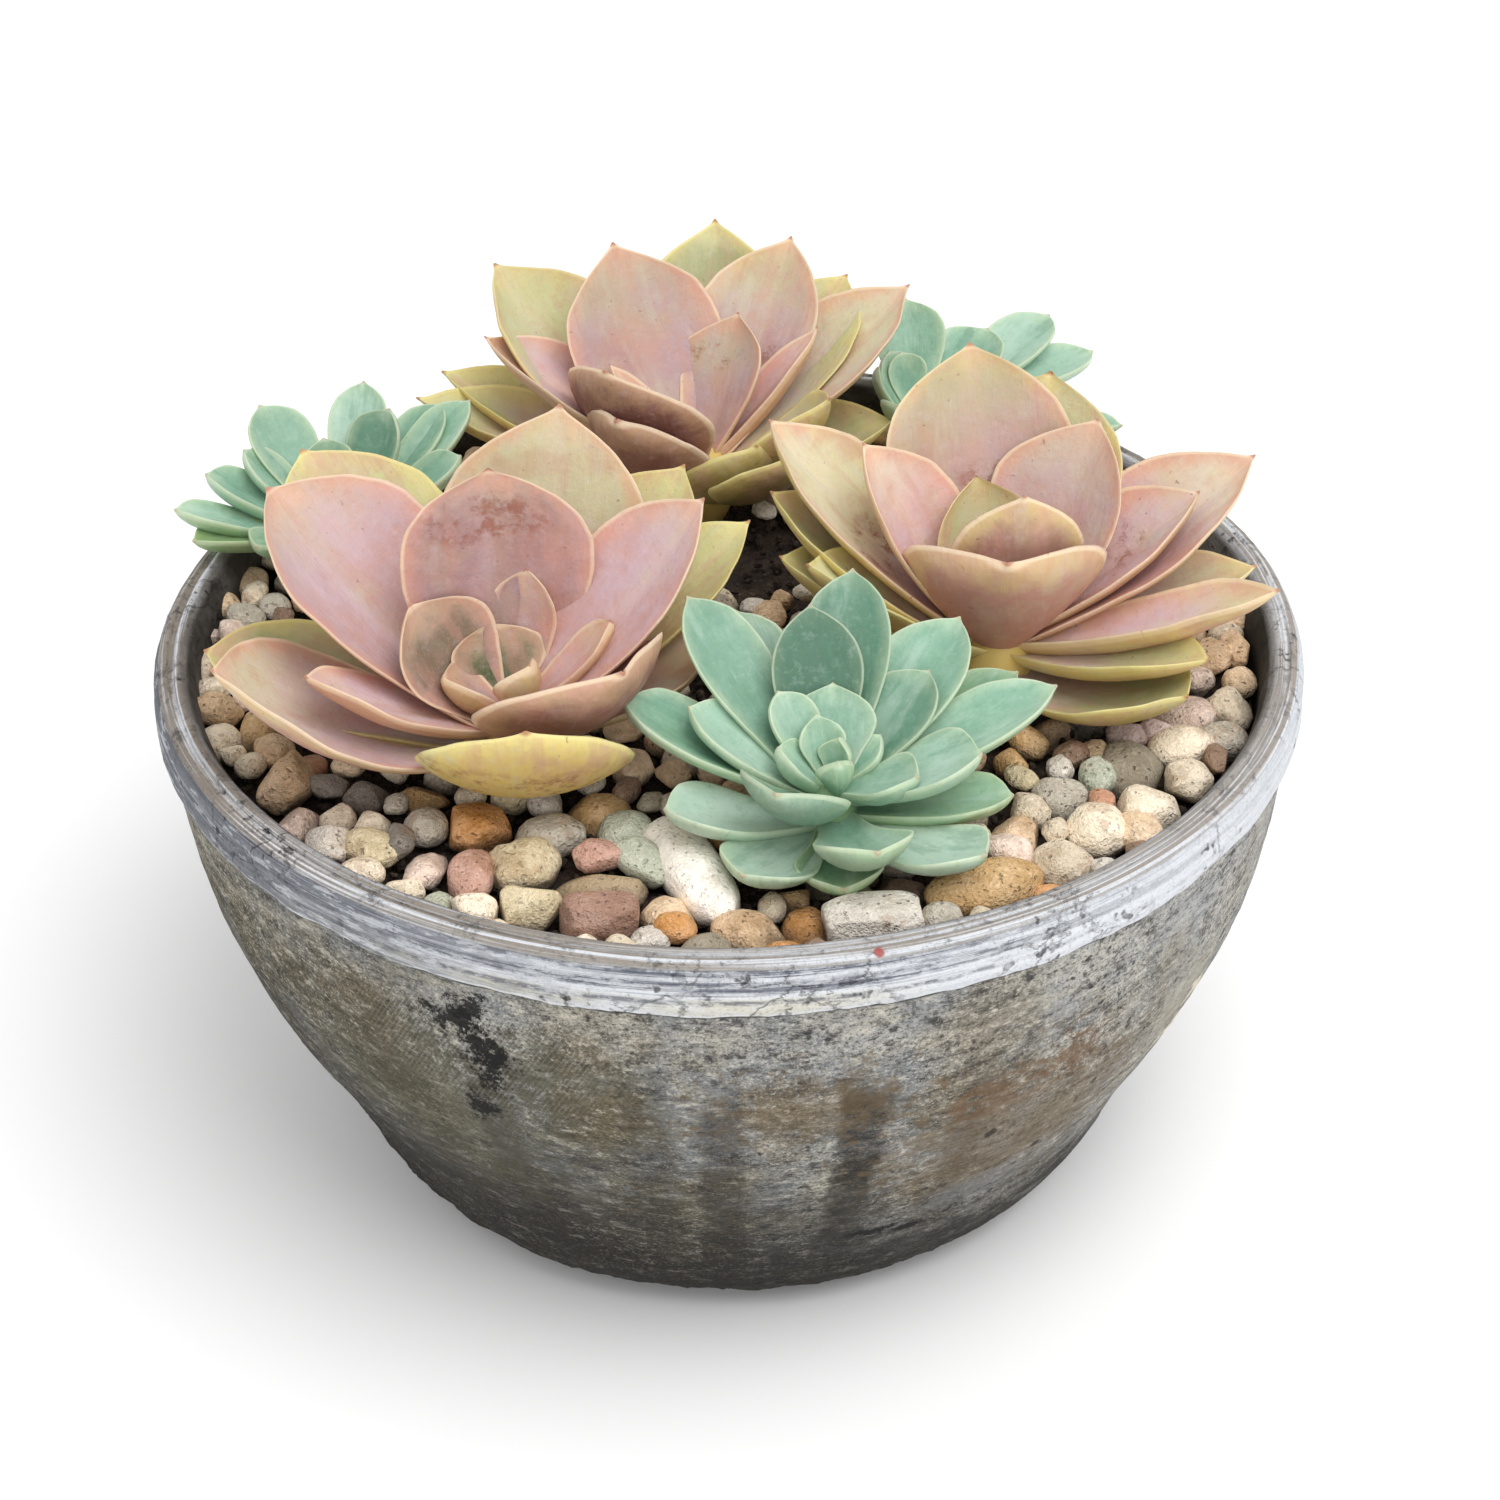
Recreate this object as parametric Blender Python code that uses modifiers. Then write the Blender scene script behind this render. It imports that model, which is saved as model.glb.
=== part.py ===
# Succulent dish garden: six echeveria rosettes in a round, hand-made clay bowl,
# bedded in soil under a layer of loose river pebbles.
# Metres, +Z up. The origin is the middle of the bowl's foot, on the surface that it stands on.
# Seen from -Y, three large pink rosettes stand left, right and at the back, and three small
# green ones in front, at the left edge and at the back.

import math
import random
from collections import namedtuple

import bmesh
import bpy
from mathutils import Euler, Matrix, Vector

MM = 0.001

# Driving sizes of the bowl
RIM_RADIUS = 135 * MM
BOWL_HEIGHT = 135 * MM
FOOT_RADIUS = 82 * MM
WALL = 8.5 * MM
FLOOR = 12 * MM
BAND_HEIGHT = 13 * MM
BAND_STEP = 1.9 * MM
TURNED_SIDES = 44

# The rim from the band's lower edge over the grooved lip to the inner wall, as distances
# in from the rim's radius and down from its top
RIM_SECTION = ((0.4, 12), (0, 7), (1.2, 3), (3.6, 0.4), (4.6, 0.9), (5.8, 0), (8, 1), (9.6, 4), (10.4, 9))

# Fill of the bowl
SOIL_TOP = 117 * MM
GRAVEL_BASE_TOP = 121 * MM
GRAVEL_TOP = 127.5 * MM
TOUCH_GAP = 0.3 * MM

# The bare patch of dark soil between the three pink rosettes
SOIL_PATCH_CENTRE = (10 * MM, 46 * MM)
SOIL_PATCH_SIZE = (20 * MM, 15 * MM)

# Half widths of a leaf from base to tip, as (share of length, share of half width)
BROAD_LEAF = ((0, 0.32), (0.12, 0.46), (0.3, 0.74), (0.45, 0.93), (0.6, 1.0), (0.72, 0.96), (0.84, 0.78),
              (0.92, 0.52), (0.97, 0.28), (1, 0.05))
POINTED_LEAF = ((0, 0.32), (0.12, 0.48), (0.3, 0.78), (0.45, 0.96), (0.6, 1.0), (0.72, 0.91), (0.84, 0.67),
                (0.92, 0.41), (0.97, 0.2), (1, 0.04))
SPOON_LEAF = ((0, 0.32), (0.12, 0.42), (0.3, 0.6), (0.45, 0.8), (0.6, 0.96), (0.72, 1.0), (0.84, 0.9),
              (0.93, 0.62), (0.975, 0.33), (1, 0.07))
BLADE_LEAF = ((0, 0.34), (0.12, 0.48), (0.3, 0.7), (0.45, 0.9), (0.6, 1.0), (0.72, 0.93), (0.84, 0.72),
              (0.93, 0.42), (0.975, 0.2), (1, 0.05))
LEAF_RINGS = (0, 0.35, 0.65, 0.87, 1)
CENTRELINE_STEPS = 20
CUP_NARROWING = 0.12
TIP_THINNING = 0.5

# The core that the leaves grow from, as share of its radius and height above the crown (mm)
CORE_SECTION = ((0, 6), (0.7, 3.5), (1, -1), (0.9, -5))
STEM_TOP = -9
STEM_FOOT = 100 * MM
STEM_SIDES = 10

# Each leaf: direction (degrees round the stem, 0 is +X), pitch above level and curl (degrees),
# length and width (mm), cup (edge rise over half width), start off the axis and lift (mm), roll (degrees),
# taper (0 gives the rosette's rounder outline, 1 its pointed one)
Leaf = namedtuple("Leaf", "azimuth pitch curl length width cup start lift roll taper")
PINK_LEFT_LEAVES = (
    (154, 39.5, 15, 73, 52, 0.35, 3, 0, 0, 0),
    (99, 82, 10, 56, 44, 0.15, 10, 0, 0, 0),
    (76, 56, 10, 68, 50, 0.12, 9, 0, 0, 1),
    (135, 34, 10, 79, 45, 0.3, 3, 0, 0, 0.3),
    (18, 48, 15, 65, 34, 0.35, 3, 1, 14, 0.7),
    (48, 38, 10, 71, 42, 0.3, 3, -2, 0, 0.8),
    (35, 27, 10, 71, 32, 0.35, 3, -2, 0, 0.8),
    (8, 22, 10, 46, 36, 0.3, 3, -2, 0, 0),
    (310, 38, 50, 52, 50, 0.4, 3, 3, 0, 0.5),
    (280, 34, 90, 57, 48, 0.22, 3, -1, -6, 0.6),
    (201, 29, 45, 72, 50, 0.25, 3, -4, 0, 0.6),
    (206, 31, 20, 50, 22, 0.25, 3, 0, 0, 0.5),
    (172, 17, 10, 69, 38, 0.3, 3, -6, 0, 0),
    (168, 57, 25, 31, 30, 0.35, 4, 3, -24, 0.3),
    (75, 76, 20, 29, 16, 0.3, 9, 3, 0, 0),
    (12, 42, 20, 29, 13, 0.3, 3, 4, 0, 0),
    (110, 60, 20, 18, 23, 0.3, 3, 4, 0, 0),
    (200, 42, 30, 17, 18, 0.5, 2, 5, 0, 1),
    (330, 65, 30, 13, 15, 0.5, 1, 6, 0, 1),
)
PINK_BACK_LEAVES = (
    (122, 52, 40, 62, 46, 0.2, 3, 0, 0, 1),
    (145, 41, 30, 62, 52, 0.3, 18, 1, 10, 1),
    (62.5, 40, 15, 66, 37, 0.3, 3, 1, 0, 1),
    (86, 36.5, 10, 77, 40, 0.25, 3, -5, 0, 1),
    (50, 29, 10, 67, 40, 0.3, 3, 0, 0, 1),
    (30, 31, 15, 71, 38, 0.35, 3, 0, 0, 1),
    (30, 42, 15, 44, 14, 0.4, 3, 2, -10, 1),
    (167, 31, 15, 59, 32, 0.35, 5, 2, 4, 1),
    (172, 15, 15, 73, 30, 0.4, 3, -3, 0, 1),
    (160, 17, 15, 72, 32, 0.4, 3, -5, 0, 1),
    (219, 58, 50, 44, 50, 0.3, 6, 1, 11, 0.6),
    (232, 46, 50, 42, 40, 0.35, 4, -2, 0, 0),
    (68, 50, 20, 39, 35, 0.3, 3, 2, -25, 1),
    (150, 42, 20, 31, 10, 0.4, 3, 3, 0, 1),
    (332, 42, 50, 48, 34, 0.4, 3, -2, 0, 1),
    (10, 14, 20, 50, 32, 0.4, 3, -3, 0, 1),
    (318, 32, 60, 42, 36, 0.35, 3, -3, 0, 1),
    (300, 42, 60, 38, 36, 0.35, 3, -4, 0, 1),
    (140, 70, 20, 15, 9, 0.4, 3, 3, 0, 1),
)
PINK_RIGHT_LEAVES = (
    (98, 58, 15, 66, 47, 0.25, 8, 0, 0, 0.6),
    (73, 45, 10, 65, 46, 0.3, 3, 0, 0, 0.6),
    (48, 56, 15, 54, 37, 0.3, 4, 0, 0, 0.8),
    (110, 68, 20, 36, 28, 0.45, 3, 2, 0, 0.8),
    (290, 80, 25, 42, 32, 0.25, 2, 2, -12, 1),
    (268, 61, 8, 36, 49, 0.45, 3, 1, 0, 0.3),
    (155, 38.5, 15, 72, 37, 0.35, 3, 0, 0, 0.7),
    (157, 55, 15, 55, 30, 0.4, 3, 0, -10, 0.8),
    (20, 31, 15, 71, 40, 0.35, 3, 0, 0, 0.8),
    (15, 34, 15, 54, 30, 0.4, 3, 2, 0, 0.6),
    (7, 17, 15, 60, 28, 0.35, 3, -2, 0, 0.6),
    (338, 24, 25, 67, 20, 0.5, 3, 0, 0, 0.5),
    (325, 17, 20, 53, 23, 0.4, 3, -2, 0, 0.5),
    (315, 15, 50, 55, 37, 0.3, 3, -5, 0, 0.7),
    (189, 32, 20, 51, 30, 0.4, 3, -2, 0, 0.6),
    (175, 26, 20, 54, 32, 0.4, 3, -3, 0, 0.6),
    (165, 34, 20, 63, 30, 0.4, 3, -3, 0, 0.6),
)
GREEN_FRONT_LEAVES = (
    (98, 56, 20, 39, 21, 0.25, 6, 0, 0, 0.8),
    (82, 42, 20, 52, 21, 0.3, 2, -1, 0, 0.4),
    (135, 38, 20, 53, 20, 0.3, 2, 0, 0, 0.3),
    (118, 33, 20, 50, 18, 0.35, 2, -3, 0, 0),
    (50, 29, 20, 50, 24, 0.35, 2, 0, 0, 0.6),
    (36, 18, 20, 53, 20, 0.35, 2, -4, 0, 0),
    (45, 31, 20, 34, 20, 0.35, 2, 1, 0, 0.5),
    (18, 20, 15, 53, 21, 0.35, 2, 0, 0, 0.6),
    (352, 24, 25, 33, 22, 0.35, 2, 1, 0, 0),
    (352, 11, 20, 38, 17, 0.35, 2, -3, 0, 0),
    (318, 14, 40, 42, 20, 0.3, 2, -5, 0, 0),
    (284, 22, 50, 37, 22, 0.35, 2, -3, 0, 0),
    (236, 12, 40, 34, 22, 0.25, 2, -6, 0, 0),
    (274, 6, 30, 27, 20, 0.3, 2, -6, 0, 0),
    (197, 16, 30, 37, 20, 0.35, 2, -5, 0, 0),
    (165, 32, 20, 35, 18, 0.35, 2, 0, 0, 0.3),
    (168, 24, 20, 48, 20, 0.35, 2, 0, 0, 0),
    (130, 48, 20, 23, 13, 0.35, 2, 2, 0, 0.2),
    (88, 43, 20, 22, 20, 0.3, 2, 3, 0, 1.2),
    (180, 48, 20, 14, 13, 0.35, 2, 3, 0, 1),
    (110, 60, 20, 14, 11, 0.35, 2, 4, 0, 1.3),
    (35, 36, 20, 14, 10, 0.35, 2, 3, 0, 1.1),
    (242, 36, 40, 30, 26, 0.35, 2, 0, 0, 0),
    (335, 25, 30, 20, 18, 0.35, 2, 3, 0, 0.5),
    (60, 75, 30, 9, 8, 0.4, 1, 5, 0, 1.5),
    (290, 80, 30, 8, 9, 0.4, 2, 4, 0, 1.4),
)
GREEN_LEFT_LEAVES = (
    (203, 22, 20, 42, 13, 0.35, 2, 0, 0, 0),
    (184, 31, 20, 35, 16, 0.35, 2, 0, 0, 0),
    (137, 44, 20, 37, 19, 0.3, 2, 0, 0, 0),
    (165, 42, 20, 30, 14, 0.35, 2, 0, 0, 0),
    (81, 44, 20, 39, 16, 0.3, 2, 0, 0, 0),
    (50, 57, 20, 32, 18, 0.35, 2, 0, 0, 0),
    (52, 29, 20, 42, 16, 0.35, 2, 0, 0, 0),
    (42, 29, 20, 46, 16, 0.35, 2, 0, 0, 0),
    (212, 13, 8, 38, 15, 0.35, 2, 1, 0, 0),
    (110, 60, 20, 22, 14, 0.35, 2, 1, 0, 0),
    (15, 30, 20, 34, 16, 0.35, 2, 0, 0, 0),
    (235, 20, 20, 30, 16, 0.35, 2, 0, 0, 0),
)
GREEN_BACK_LEAVES = (
    (97, 48, 20, 34, 20, 0.3, 2, 0, 0, 0),
    (52, 28, 20, 34, 22, 0.35, 2, 0, 0, 0),
    (42, 19, 20, 40, 20, 0.35, 12, 3, 0, 0.3),
    (26, 8, 15, 40, 19, 0.35, 14, 4, 0, 0.4),
    (115, 62, 20, 18, 12, 0.35, 2, 1, 0, 0),
    (338, 10, 15, 54, 14, 0.35, 2, 1, 0, 0),
    (130, 60, 20, 20, 13, 0.35, 2, 0, 0, 0),
    (160, 58, 20, 18, 12, 0.35, 2, 0, 0, 0),
    (250, 42, 20, 22, 14, 0.35, 2, 0, 0, 0),
    (300, 35, 20, 26, 15, 0.35, 2, 0, 0, 0),
)

# The rounder and the pointed outline of each kind
PINK_OUTLINES = (BROAD_LEAF, POINTED_LEAF)
GREEN_OUTLINES = (SPOON_LEAF, BLADE_LEAF)
PINK = (0.74, 0.45, 0.42)
GREEN = (0.30, 0.52, 0.42)

# Each rosette: the crown is where its leaves meet; crown, thickness and the two radii are in mm
Rosette = namedtuple("Rosette", "name crown outlines thickness stem_radius core_radius colour leaves")
ROSETTES = (
    Rosette("pink_rosette_left", (-49, -45, 134), PINK_OUTLINES, 4, 5, 9, PINK, PINK_LEFT_LEAVES),
    Rosette("pink_rosette_back", (-8, 74, 134), PINK_OUTLINES, 4, 5, 9, PINK, PINK_BACK_LEAVES),
    Rosette("pink_rosette_right", (63, -11, 134), PINK_OUTLINES, 4, 5, 9, PINK, PINK_RIGHT_LEAVES),
    Rosette("green_rosette_front", (22, -75, 134), GREEN_OUTLINES, 4, 4, 6, GREEN, GREEN_FRONT_LEAVES),
    Rosette("green_rosette_left", (-97, 46, 132), GREEN_OUTLINES, 3.5, 3.5, 5, GREEN, GREEN_LEFT_LEAVES),
    Rosette("green_rosette_back", (50, 97, 134), GREEN_OUTLINES, 3.5, 3.5, 5, GREEN, GREEN_BACK_LEAVES),
)

# Loose stones that stand out: place, length, width and height in mm, turn in degrees
Stone = namedtuple("Stone", "name place size turn colour")
STONES = (
    Stone("white_stone", (-8, -88), (38, 14, 12), 114, (0.80, 0.74, 0.66)),
    Stone("tan_stone", (54, -95), (27, 15, 10), 20, (0.46, 0.29, 0.15)),
    Stone("grey_block_stone", (30, -107), (22, 13, 10), 4, (0.42, 0.39, 0.37)),
    Stone("pink_block_stone", (-27, -105), (17, 12, 10), 8, (0.42, 0.27, 0.24)),
    Stone("cream_round_stone", (80, -75), (15, 15, 11), 0, (0.60, 0.52, 0.42)),
    Stone("ochre_stone_left", (-98, -55), (19, 12, 10), 65, (0.52, 0.38, 0.24)),
)

# Larger pebbles of the gravel where the rosettes leave it open: place, length and width (mm), turn (degrees)
OPEN_PEBBLES = (
    (-117, -37, 11, 9, 0), (-114, -26, 12, 8, 10), (-107, -34, 12, 10, 80), (-94, -46, 10, 8, 90),
    (-90, -56, 8, 7, 0), (-80, -58, 12, 9, 0), (-68, -59, 12, 10, 10), (-92, -70, 12, 10, 50),
    (-83, -68, 9, 8, 0), (-76, -72, 9, 8, 0), (-67, -73, 10, 9, 20), (-75, -82, 13, 8, -40),
    (-85, -81, 11, 9, -30), (-65, -85, 13, 9, 60), (-74, -91, 10, 8, -20), (-55, -72, 15, 14, 0),
    (-55, -88, 14, 9, 100), (-44, -84, 16, 12, 20), (-39, -73, 17, 11, 0), (-29, -67, 17, 15, 0),
    (-22, -76, 14, 11, 90), (-31, -83, 10, 8, 0), (-20, -90, 16, 9, 130), (-31, -94, 24, 11, 0),
    (-42, -101, 13, 10, 20), (-53, -101, 10, 8, 0), (4, -109, 14, 12, 0), (16, -107, 11, 10, 90),
    (-14, -106, 11, 9, 0), (64, -74, 15, 12, 0), (70, -87, 10, 10, 0), (74, -59, 12, 10, 90),
    (66, -57, 13, 9, 70), (82, -52, 9, 8, 90), (92, -52, 16, 12, 80), (102, -46, 12, 9, 0),
    (100, -60, 11, 9, 0), (92, -68, 12, 11, 60), (112, -38, 12, 9, 70), (108, -27, 14, 11, 0),
)
OPEN_PEBBLE_SPACING = 0.3

# The gravel's other pebbles, laid by a seeded rule; a spacing of 0.5 lets round neighbours just touch
FILL_SEED = 11
FILL_TRIES = 2600
FILL_LENGTHS = (15 * MM, 22 * MM)
FILL_WIDTH_SHARES = (0.75, 0.95)
FILL_SPACING = 0.46
PEBBLE_FLATNESS = 0.62
PEBBLE_TILT = 7
PEBBLE_TOP_SPREAD = (-1.5 * MM, 2 * MM)
PEBBLE_LEAST_SHOW = 1.5 * MM
PEBBLE_ABOVE_SOIL = 1 * MM
LEAF_CLEARANCE = 1 * MM
STEM_CLEARANCE = 2 * MM
STONE_ABOVE_GRAVEL = 2.5 * MM
STONE_SEAT_GAP = 0.4 * MM


def clear_scene():
    for item in list(bpy.data.objects):
        bpy.data.objects.remove(item, do_unlink=True)


def new_collection(name):
    collection = bpy.data.collections.new(name)
    bpy.context.scene.collection.children.link(collection)
    return collection


def new_material(name, colour, roughness):
    material = bpy.data.materials.new(name)
    material.use_nodes = True
    shader = material.node_tree.nodes["Principled BSDF"]
    shader.inputs["Base Color"].default_value = (*colour, 1)
    shader.inputs["Roughness"].default_value = roughness
    shader.inputs["Metallic"].default_value = 0
    return material


def new_object(name, mesh, collection, material=None):
    item = bpy.data.objects.new(name, mesh)
    collection.objects.link(item)
    if material:
        mesh.materials.append(material)
    return item


def mesh_from(bm, name):
    bmesh.ops.recalc_face_normals(bm, faces=bm.faces)
    mesh = bpy.data.meshes.new(name)
    bm.to_mesh(mesh)
    bm.free()
    return mesh


def evaluated_mesh(item, name):
    graph = bpy.context.evaluated_depsgraph_get()
    return bpy.data.meshes.new_from_object(item.evaluated_get(graph), depsgraph=graph)


def turned_object(name, profile, sides, collection, material):
    """A closed turned solid whose profile runs down its outer side, from the axis back to the axis."""
    mesh = bpy.data.meshes.new(name)
    points = [(radius, 0, height) for radius, height in profile]
    mesh.from_pydata(points, [(i, i + 1) for i in range(len(points) - 1)], [])
    item = new_object(name, mesh, collection, material)
    screw = item.modifiers.new("Turn", "SCREW")
    screw.axis = "Z"
    screw.steps = sides
    screw.render_steps = sides
    screw.use_merge_vertices = True
    screw.merge_threshold = 0.00001
    solid = evaluated_mesh(item, name)
    item.modifiers.remove(screw)
    bm = bmesh.new()
    bm.from_mesh(solid)
    bmesh.ops.remove_doubles(bm, verts=bm.verts, dist=0.000005)
    bmesh.ops.triangulate(bm, faces=bm.faces)
    bmesh.ops.recalc_face_normals(bm, faces=bm.faces)
    bm.to_mesh(mesh)
    bm.free()
    bpy.data.meshes.remove(solid)
    return item


def run_boolean(item, operation, others, solver="EXACT"):
    """Join or cut with every object of a collection at once, then drop that collection."""
    modifier = item.modifiers.new("Join", "BOOLEAN")
    modifier.operation = operation
    modifier.operand_type = "COLLECTION"
    modifier.collection = others
    modifier.solver = solver
    result = evaluated_mesh(item, item.name)
    item.modifiers.remove(modifier)
    old = item.data
    item.data = result
    bpy.data.meshes.remove(old)
    for other in list(others.objects):
        bpy.data.objects.remove(other, do_unlink=True)
    bpy.data.collections.remove(others)


def tidy_solid(item):
    """Merge flat faces that the joins cut up, split them into triangles and keep the largest closed body."""
    bm = bmesh.new()
    bm.from_mesh(item.data)
    bmesh.ops.dissolve_limit(bm, angle_limit=math.radians(0.3), verts=bm.verts, edges=bm.edges)
    bmesh.ops.triangulate(bm, faces=bm.faces)
    bm.verts.ensure_lookup_table()
    unseen = set(bm.verts)
    bodies = []
    while unseen:
        body = set()
        waiting = [next(iter(unseen))]
        while waiting:
            vertex = waiting.pop()
            if vertex in body:
                continue
            body.add(vertex)
            waiting.extend(edge.other_vert(vertex) for edge in vertex.link_edges)
        unseen -= body
        bodies.append(body)
    bodies.sort(key=len, reverse=True)
    scraps = [vertex for body in bodies[1:] for vertex in body]
    bmesh.ops.delete(bm, geom=scraps, context="VERTS")
    bmesh.ops.recalc_face_normals(bm, faces=bm.faces)
    bm.to_mesh(item.data)
    bm.free()


# The bowl

def wall_outline():
    """The outer side from the foot up to the lower edge of the rim band."""
    wall_top = RIM_RADIUS - BAND_STEP
    return (
        (FOOT_RADIUS, 0), (FOOT_RADIUS + 9 * MM, 4 * MM), (FOOT_RADIUS + 16.5 * MM, 13.5 * MM),
        (FOOT_RADIUS + 25 * MM, 34 * MM), (wall_top - 13 * MM, 61 * MM), (wall_top - 4.4 * MM, 88 * MM),
        (wall_top, BOWL_HEIGHT - BAND_HEIGHT),
    )


def rim_outline():
    """Up the band, over the rounded lip with its turned groove and down to the inner wall."""
    return [(RIM_RADIUS - inward * MM, BOWL_HEIGHT - drop * MM) for inward, drop in RIM_SECTION]


def inner_outline():
    """The inside wall from the lip down to the floor, one wall thickness in from the outer side."""
    upper = [(radius - WALL, height) for radius, height in wall_outline() if height > 2 * FLOOR]
    upper.reverse()
    return [rim_outline()[-1], *upper, (FOOT_RADIUS, FLOOR), (0, FLOOR)]


def inner_radius(height):
    """Radius of the inside wall at a height."""
    outline = inner_outline()
    for (upper_radius, upper_height), (lower_radius, lower_height) in zip(outline, outline[1:]):
        if lower_height <= height <= upper_height:
            share = (height - lower_height) / (upper_height - lower_height)
            return lower_radius + share * (upper_radius - lower_radius)
    return outline[0][0]


def make_bowl(collection):
    clay = new_material("aged_clay", (0.17, 0.16, 0.155), 0.85)
    around = [(0, 0), *wall_outline(), *rim_outline()[:-1], *inner_outline()]
    around.reverse()
    turned_object("bowl", around, TURNED_SIDES, collection, clay)


# Soil

def add_cutter(name, place, radius, bottom, top, collection):
    """A round cutter whose flat sides stay at least the radius away from its axis."""
    bm = bmesh.new()
    outer = radius / math.cos(math.pi / STEM_SIDES)
    bmesh.ops.create_cone(
        bm, cap_ends=True, segments=STEM_SIDES, radius1=outer, radius2=outer, depth=top - bottom)
    bmesh.ops.translate(bm, verts=bm.verts, vec=(place[0], place[1], (bottom + top) / 2))
    item = new_object(name, mesh_from(bm, name), collection)
    item.hide_render = True
    item.display_type = "WIRE"
    return item


def make_soil(collection):
    earth = new_material("potting_soil", (0.045, 0.032, 0.024), 0.95)
    side = [(radius - TOUCH_GAP, height) for radius, height in inner_outline() if FLOOR < height < SOIL_TOP]
    profile = [(0, SOIL_TOP), (inner_radius(SOIL_TOP) - TOUCH_GAP, SOIL_TOP), *side,
               (FOOT_RADIUS - TOUCH_GAP, FLOOR + TOUCH_GAP), (0, FLOOR + TOUCH_GAP)]
    soil = turned_object("soil", profile, TURNED_SIDES, collection, earth)
    holes = new_collection("soil_holes")
    for rosette in ROSETTES:
        place = [value * MM for value in rosette.crown[:2]]
        radius = rosette.stem_radius * MM + TOUCH_GAP
        add_cutter("hole_" + rosette.name, place, radius, STEM_FOOT - TOUCH_GAP, GRAVEL_BASE_TOP, holes)
    run_boolean(soil, "DIFFERENCE", holes)
    tidy_solid(soil)


# Leaves and rosettes

def share_of_width(outline, t):
    for (t0, share0), (t1, share1) in zip(outline, outline[1:]):
        if t <= t1:
            return share0 + (share1 - share0) * (t - t0) / (t1 - t0)
    return outline[-1][1]


def leaf_sections(rosette, leaf):
    """For each ring along the leaf: centre, side, normal, half width and thickness."""
    azimuth, roll = math.radians(leaf.azimuth), math.radians(leaf.roll)
    crown = Vector(rosette.crown) * MM
    out = Vector((math.cos(azimuth), math.sin(azimuth), 0))
    side = Vector((-math.sin(azimuth), math.cos(azimuth), 0))
    up = Vector((0, 0, 1))
    sections = []
    for t in LEAF_RINGS:
        reach, rise = leaf.start, leaf.lift
        steps = round(t * CENTRELINE_STEPS)
        for step in range(steps):
            angle = math.radians(leaf.pitch + leaf.curl * ((step + 0.5) / steps * t - 0.5))
            reach += math.cos(angle) * leaf.length * t / steps
            rise += math.sin(angle) * leaf.length * t / steps
        angle = math.radians(leaf.pitch + leaf.curl * (t - 0.5))
        normal = up * math.cos(angle) - out * math.sin(angle)
        turned_side = side * math.cos(roll) + normal * math.sin(roll)
        turned_normal = normal * math.cos(roll) - side * math.sin(roll)
        rounder, pointed = (share_of_width(outline, t) for outline in rosette.outlines)
        share = rounder + (pointed - rounder) * leaf.taper
        half = leaf.width * share * MM / 2
        thick = rosette.thickness * math.sqrt(share) * (1 - TIP_THINNING * t) * MM
        sections.append((crown + (out * reach + up * rise) * MM, turned_side, turned_normal, half, thick))
    return sections


def leaf_ring(section, cup):
    """Points round one ring: both raised edges, the middle of the upper face and the keel below it."""
    centre, side, normal, half, thick = section
    reach, rise = half * (1 - CUP_NARROWING * cup), cup * half
    return [centre - side * reach + normal * rise, centre,
            centre + side * reach + normal * rise, centre - normal * thick]


def make_leaf(name, rosette, leaf, collection):
    """One fleshy leaf, lofted ring by ring and drawn to a point at its tip."""
    *sections, end = leaf_sections(rosette, leaf)
    bm = bmesh.new()
    rings = [[bm.verts.new(point) for point in leaf_ring(section, leaf.cup)] for section in sections]
    tip = bm.verts.new(end[0])
    sides = ((0, 1), (1, 2), (2, 3), (3, 0))
    for lower, upper in zip(rings, rings[1:]):
        for i, j in sides:
            middle, edge = (i, j) if i in (1, 3) else (j, i)
            bm.faces.new((lower[middle], lower[edge], upper[middle]))
            bm.faces.new((lower[edge], upper[edge], upper[middle]))
    for i, j in sides:
        bm.faces.new((rings[-1][i], rings[-1][j], tip))
    bm.faces.new((rings[0][0], rings[0][1], rings[0][3]))
    bm.faces.new((rings[0][1], rings[0][2], rings[0][3]))
    return new_object(name, mesh_from(bm, name), collection)


def make_rosette(rosette, collection):
    """A stem that stands in the soil, with its core, and every leaf joined to it."""
    name = rosette.name
    x, y, crown_height = (value * MM for value in rosette.crown)
    core, stem = rosette.core_radius * MM, rosette.stem_radius * MM
    profile = [(share * core, crown_height + height * MM) for share, height in CORE_SECTION]
    profile += [(stem, crown_height + STEM_TOP * MM), (stem, STEM_FOOT), (0, STEM_FOOT)]
    body = turned_object(name, profile, STEM_SIDES, collection, new_material(name, rosette.colour, 0.55))
    body.data.transform(Matrix.Translation((x, y, 0)))
    blades = new_collection(name + "_leaves")
    for number, leaf in enumerate(rosette.leaves):
        make_leaf(f"leaf_{number}", rosette, Leaf(*leaf), blades)
    run_boolean(body, "UNION", blades, "MANIFOLD")
    tidy_solid(body)


# Gravel

def leaf_undersides():
    """Points all over the undersides of every leaf, which the gravel keeps clear of."""
    points = []
    for rosette in ROSETTES:
        for leaf in rosette.leaves:
            rows = []
            for section in leaf_sections(rosette, Leaf(*leaf)):
                left, _, right, keel = leaf_ring(section, Leaf(*leaf).cup)
                rows.append((left, left.lerp(keel, 0.5), keel, right.lerp(keel, 0.5), right))
            for lower, upper in zip(rows, rows[1:]):
                for near, far in zip(lower, upper):
                    points += [near, near.lerp(far, 0.5), far]
    return points


def lowest_leaf_above(x, y, reach, undersides):
    heights = [point.z for point in undersides if math.hypot(point.x - x, point.y - y) < reach]
    return min(heights, default=BOWL_HEIGHT)


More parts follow.
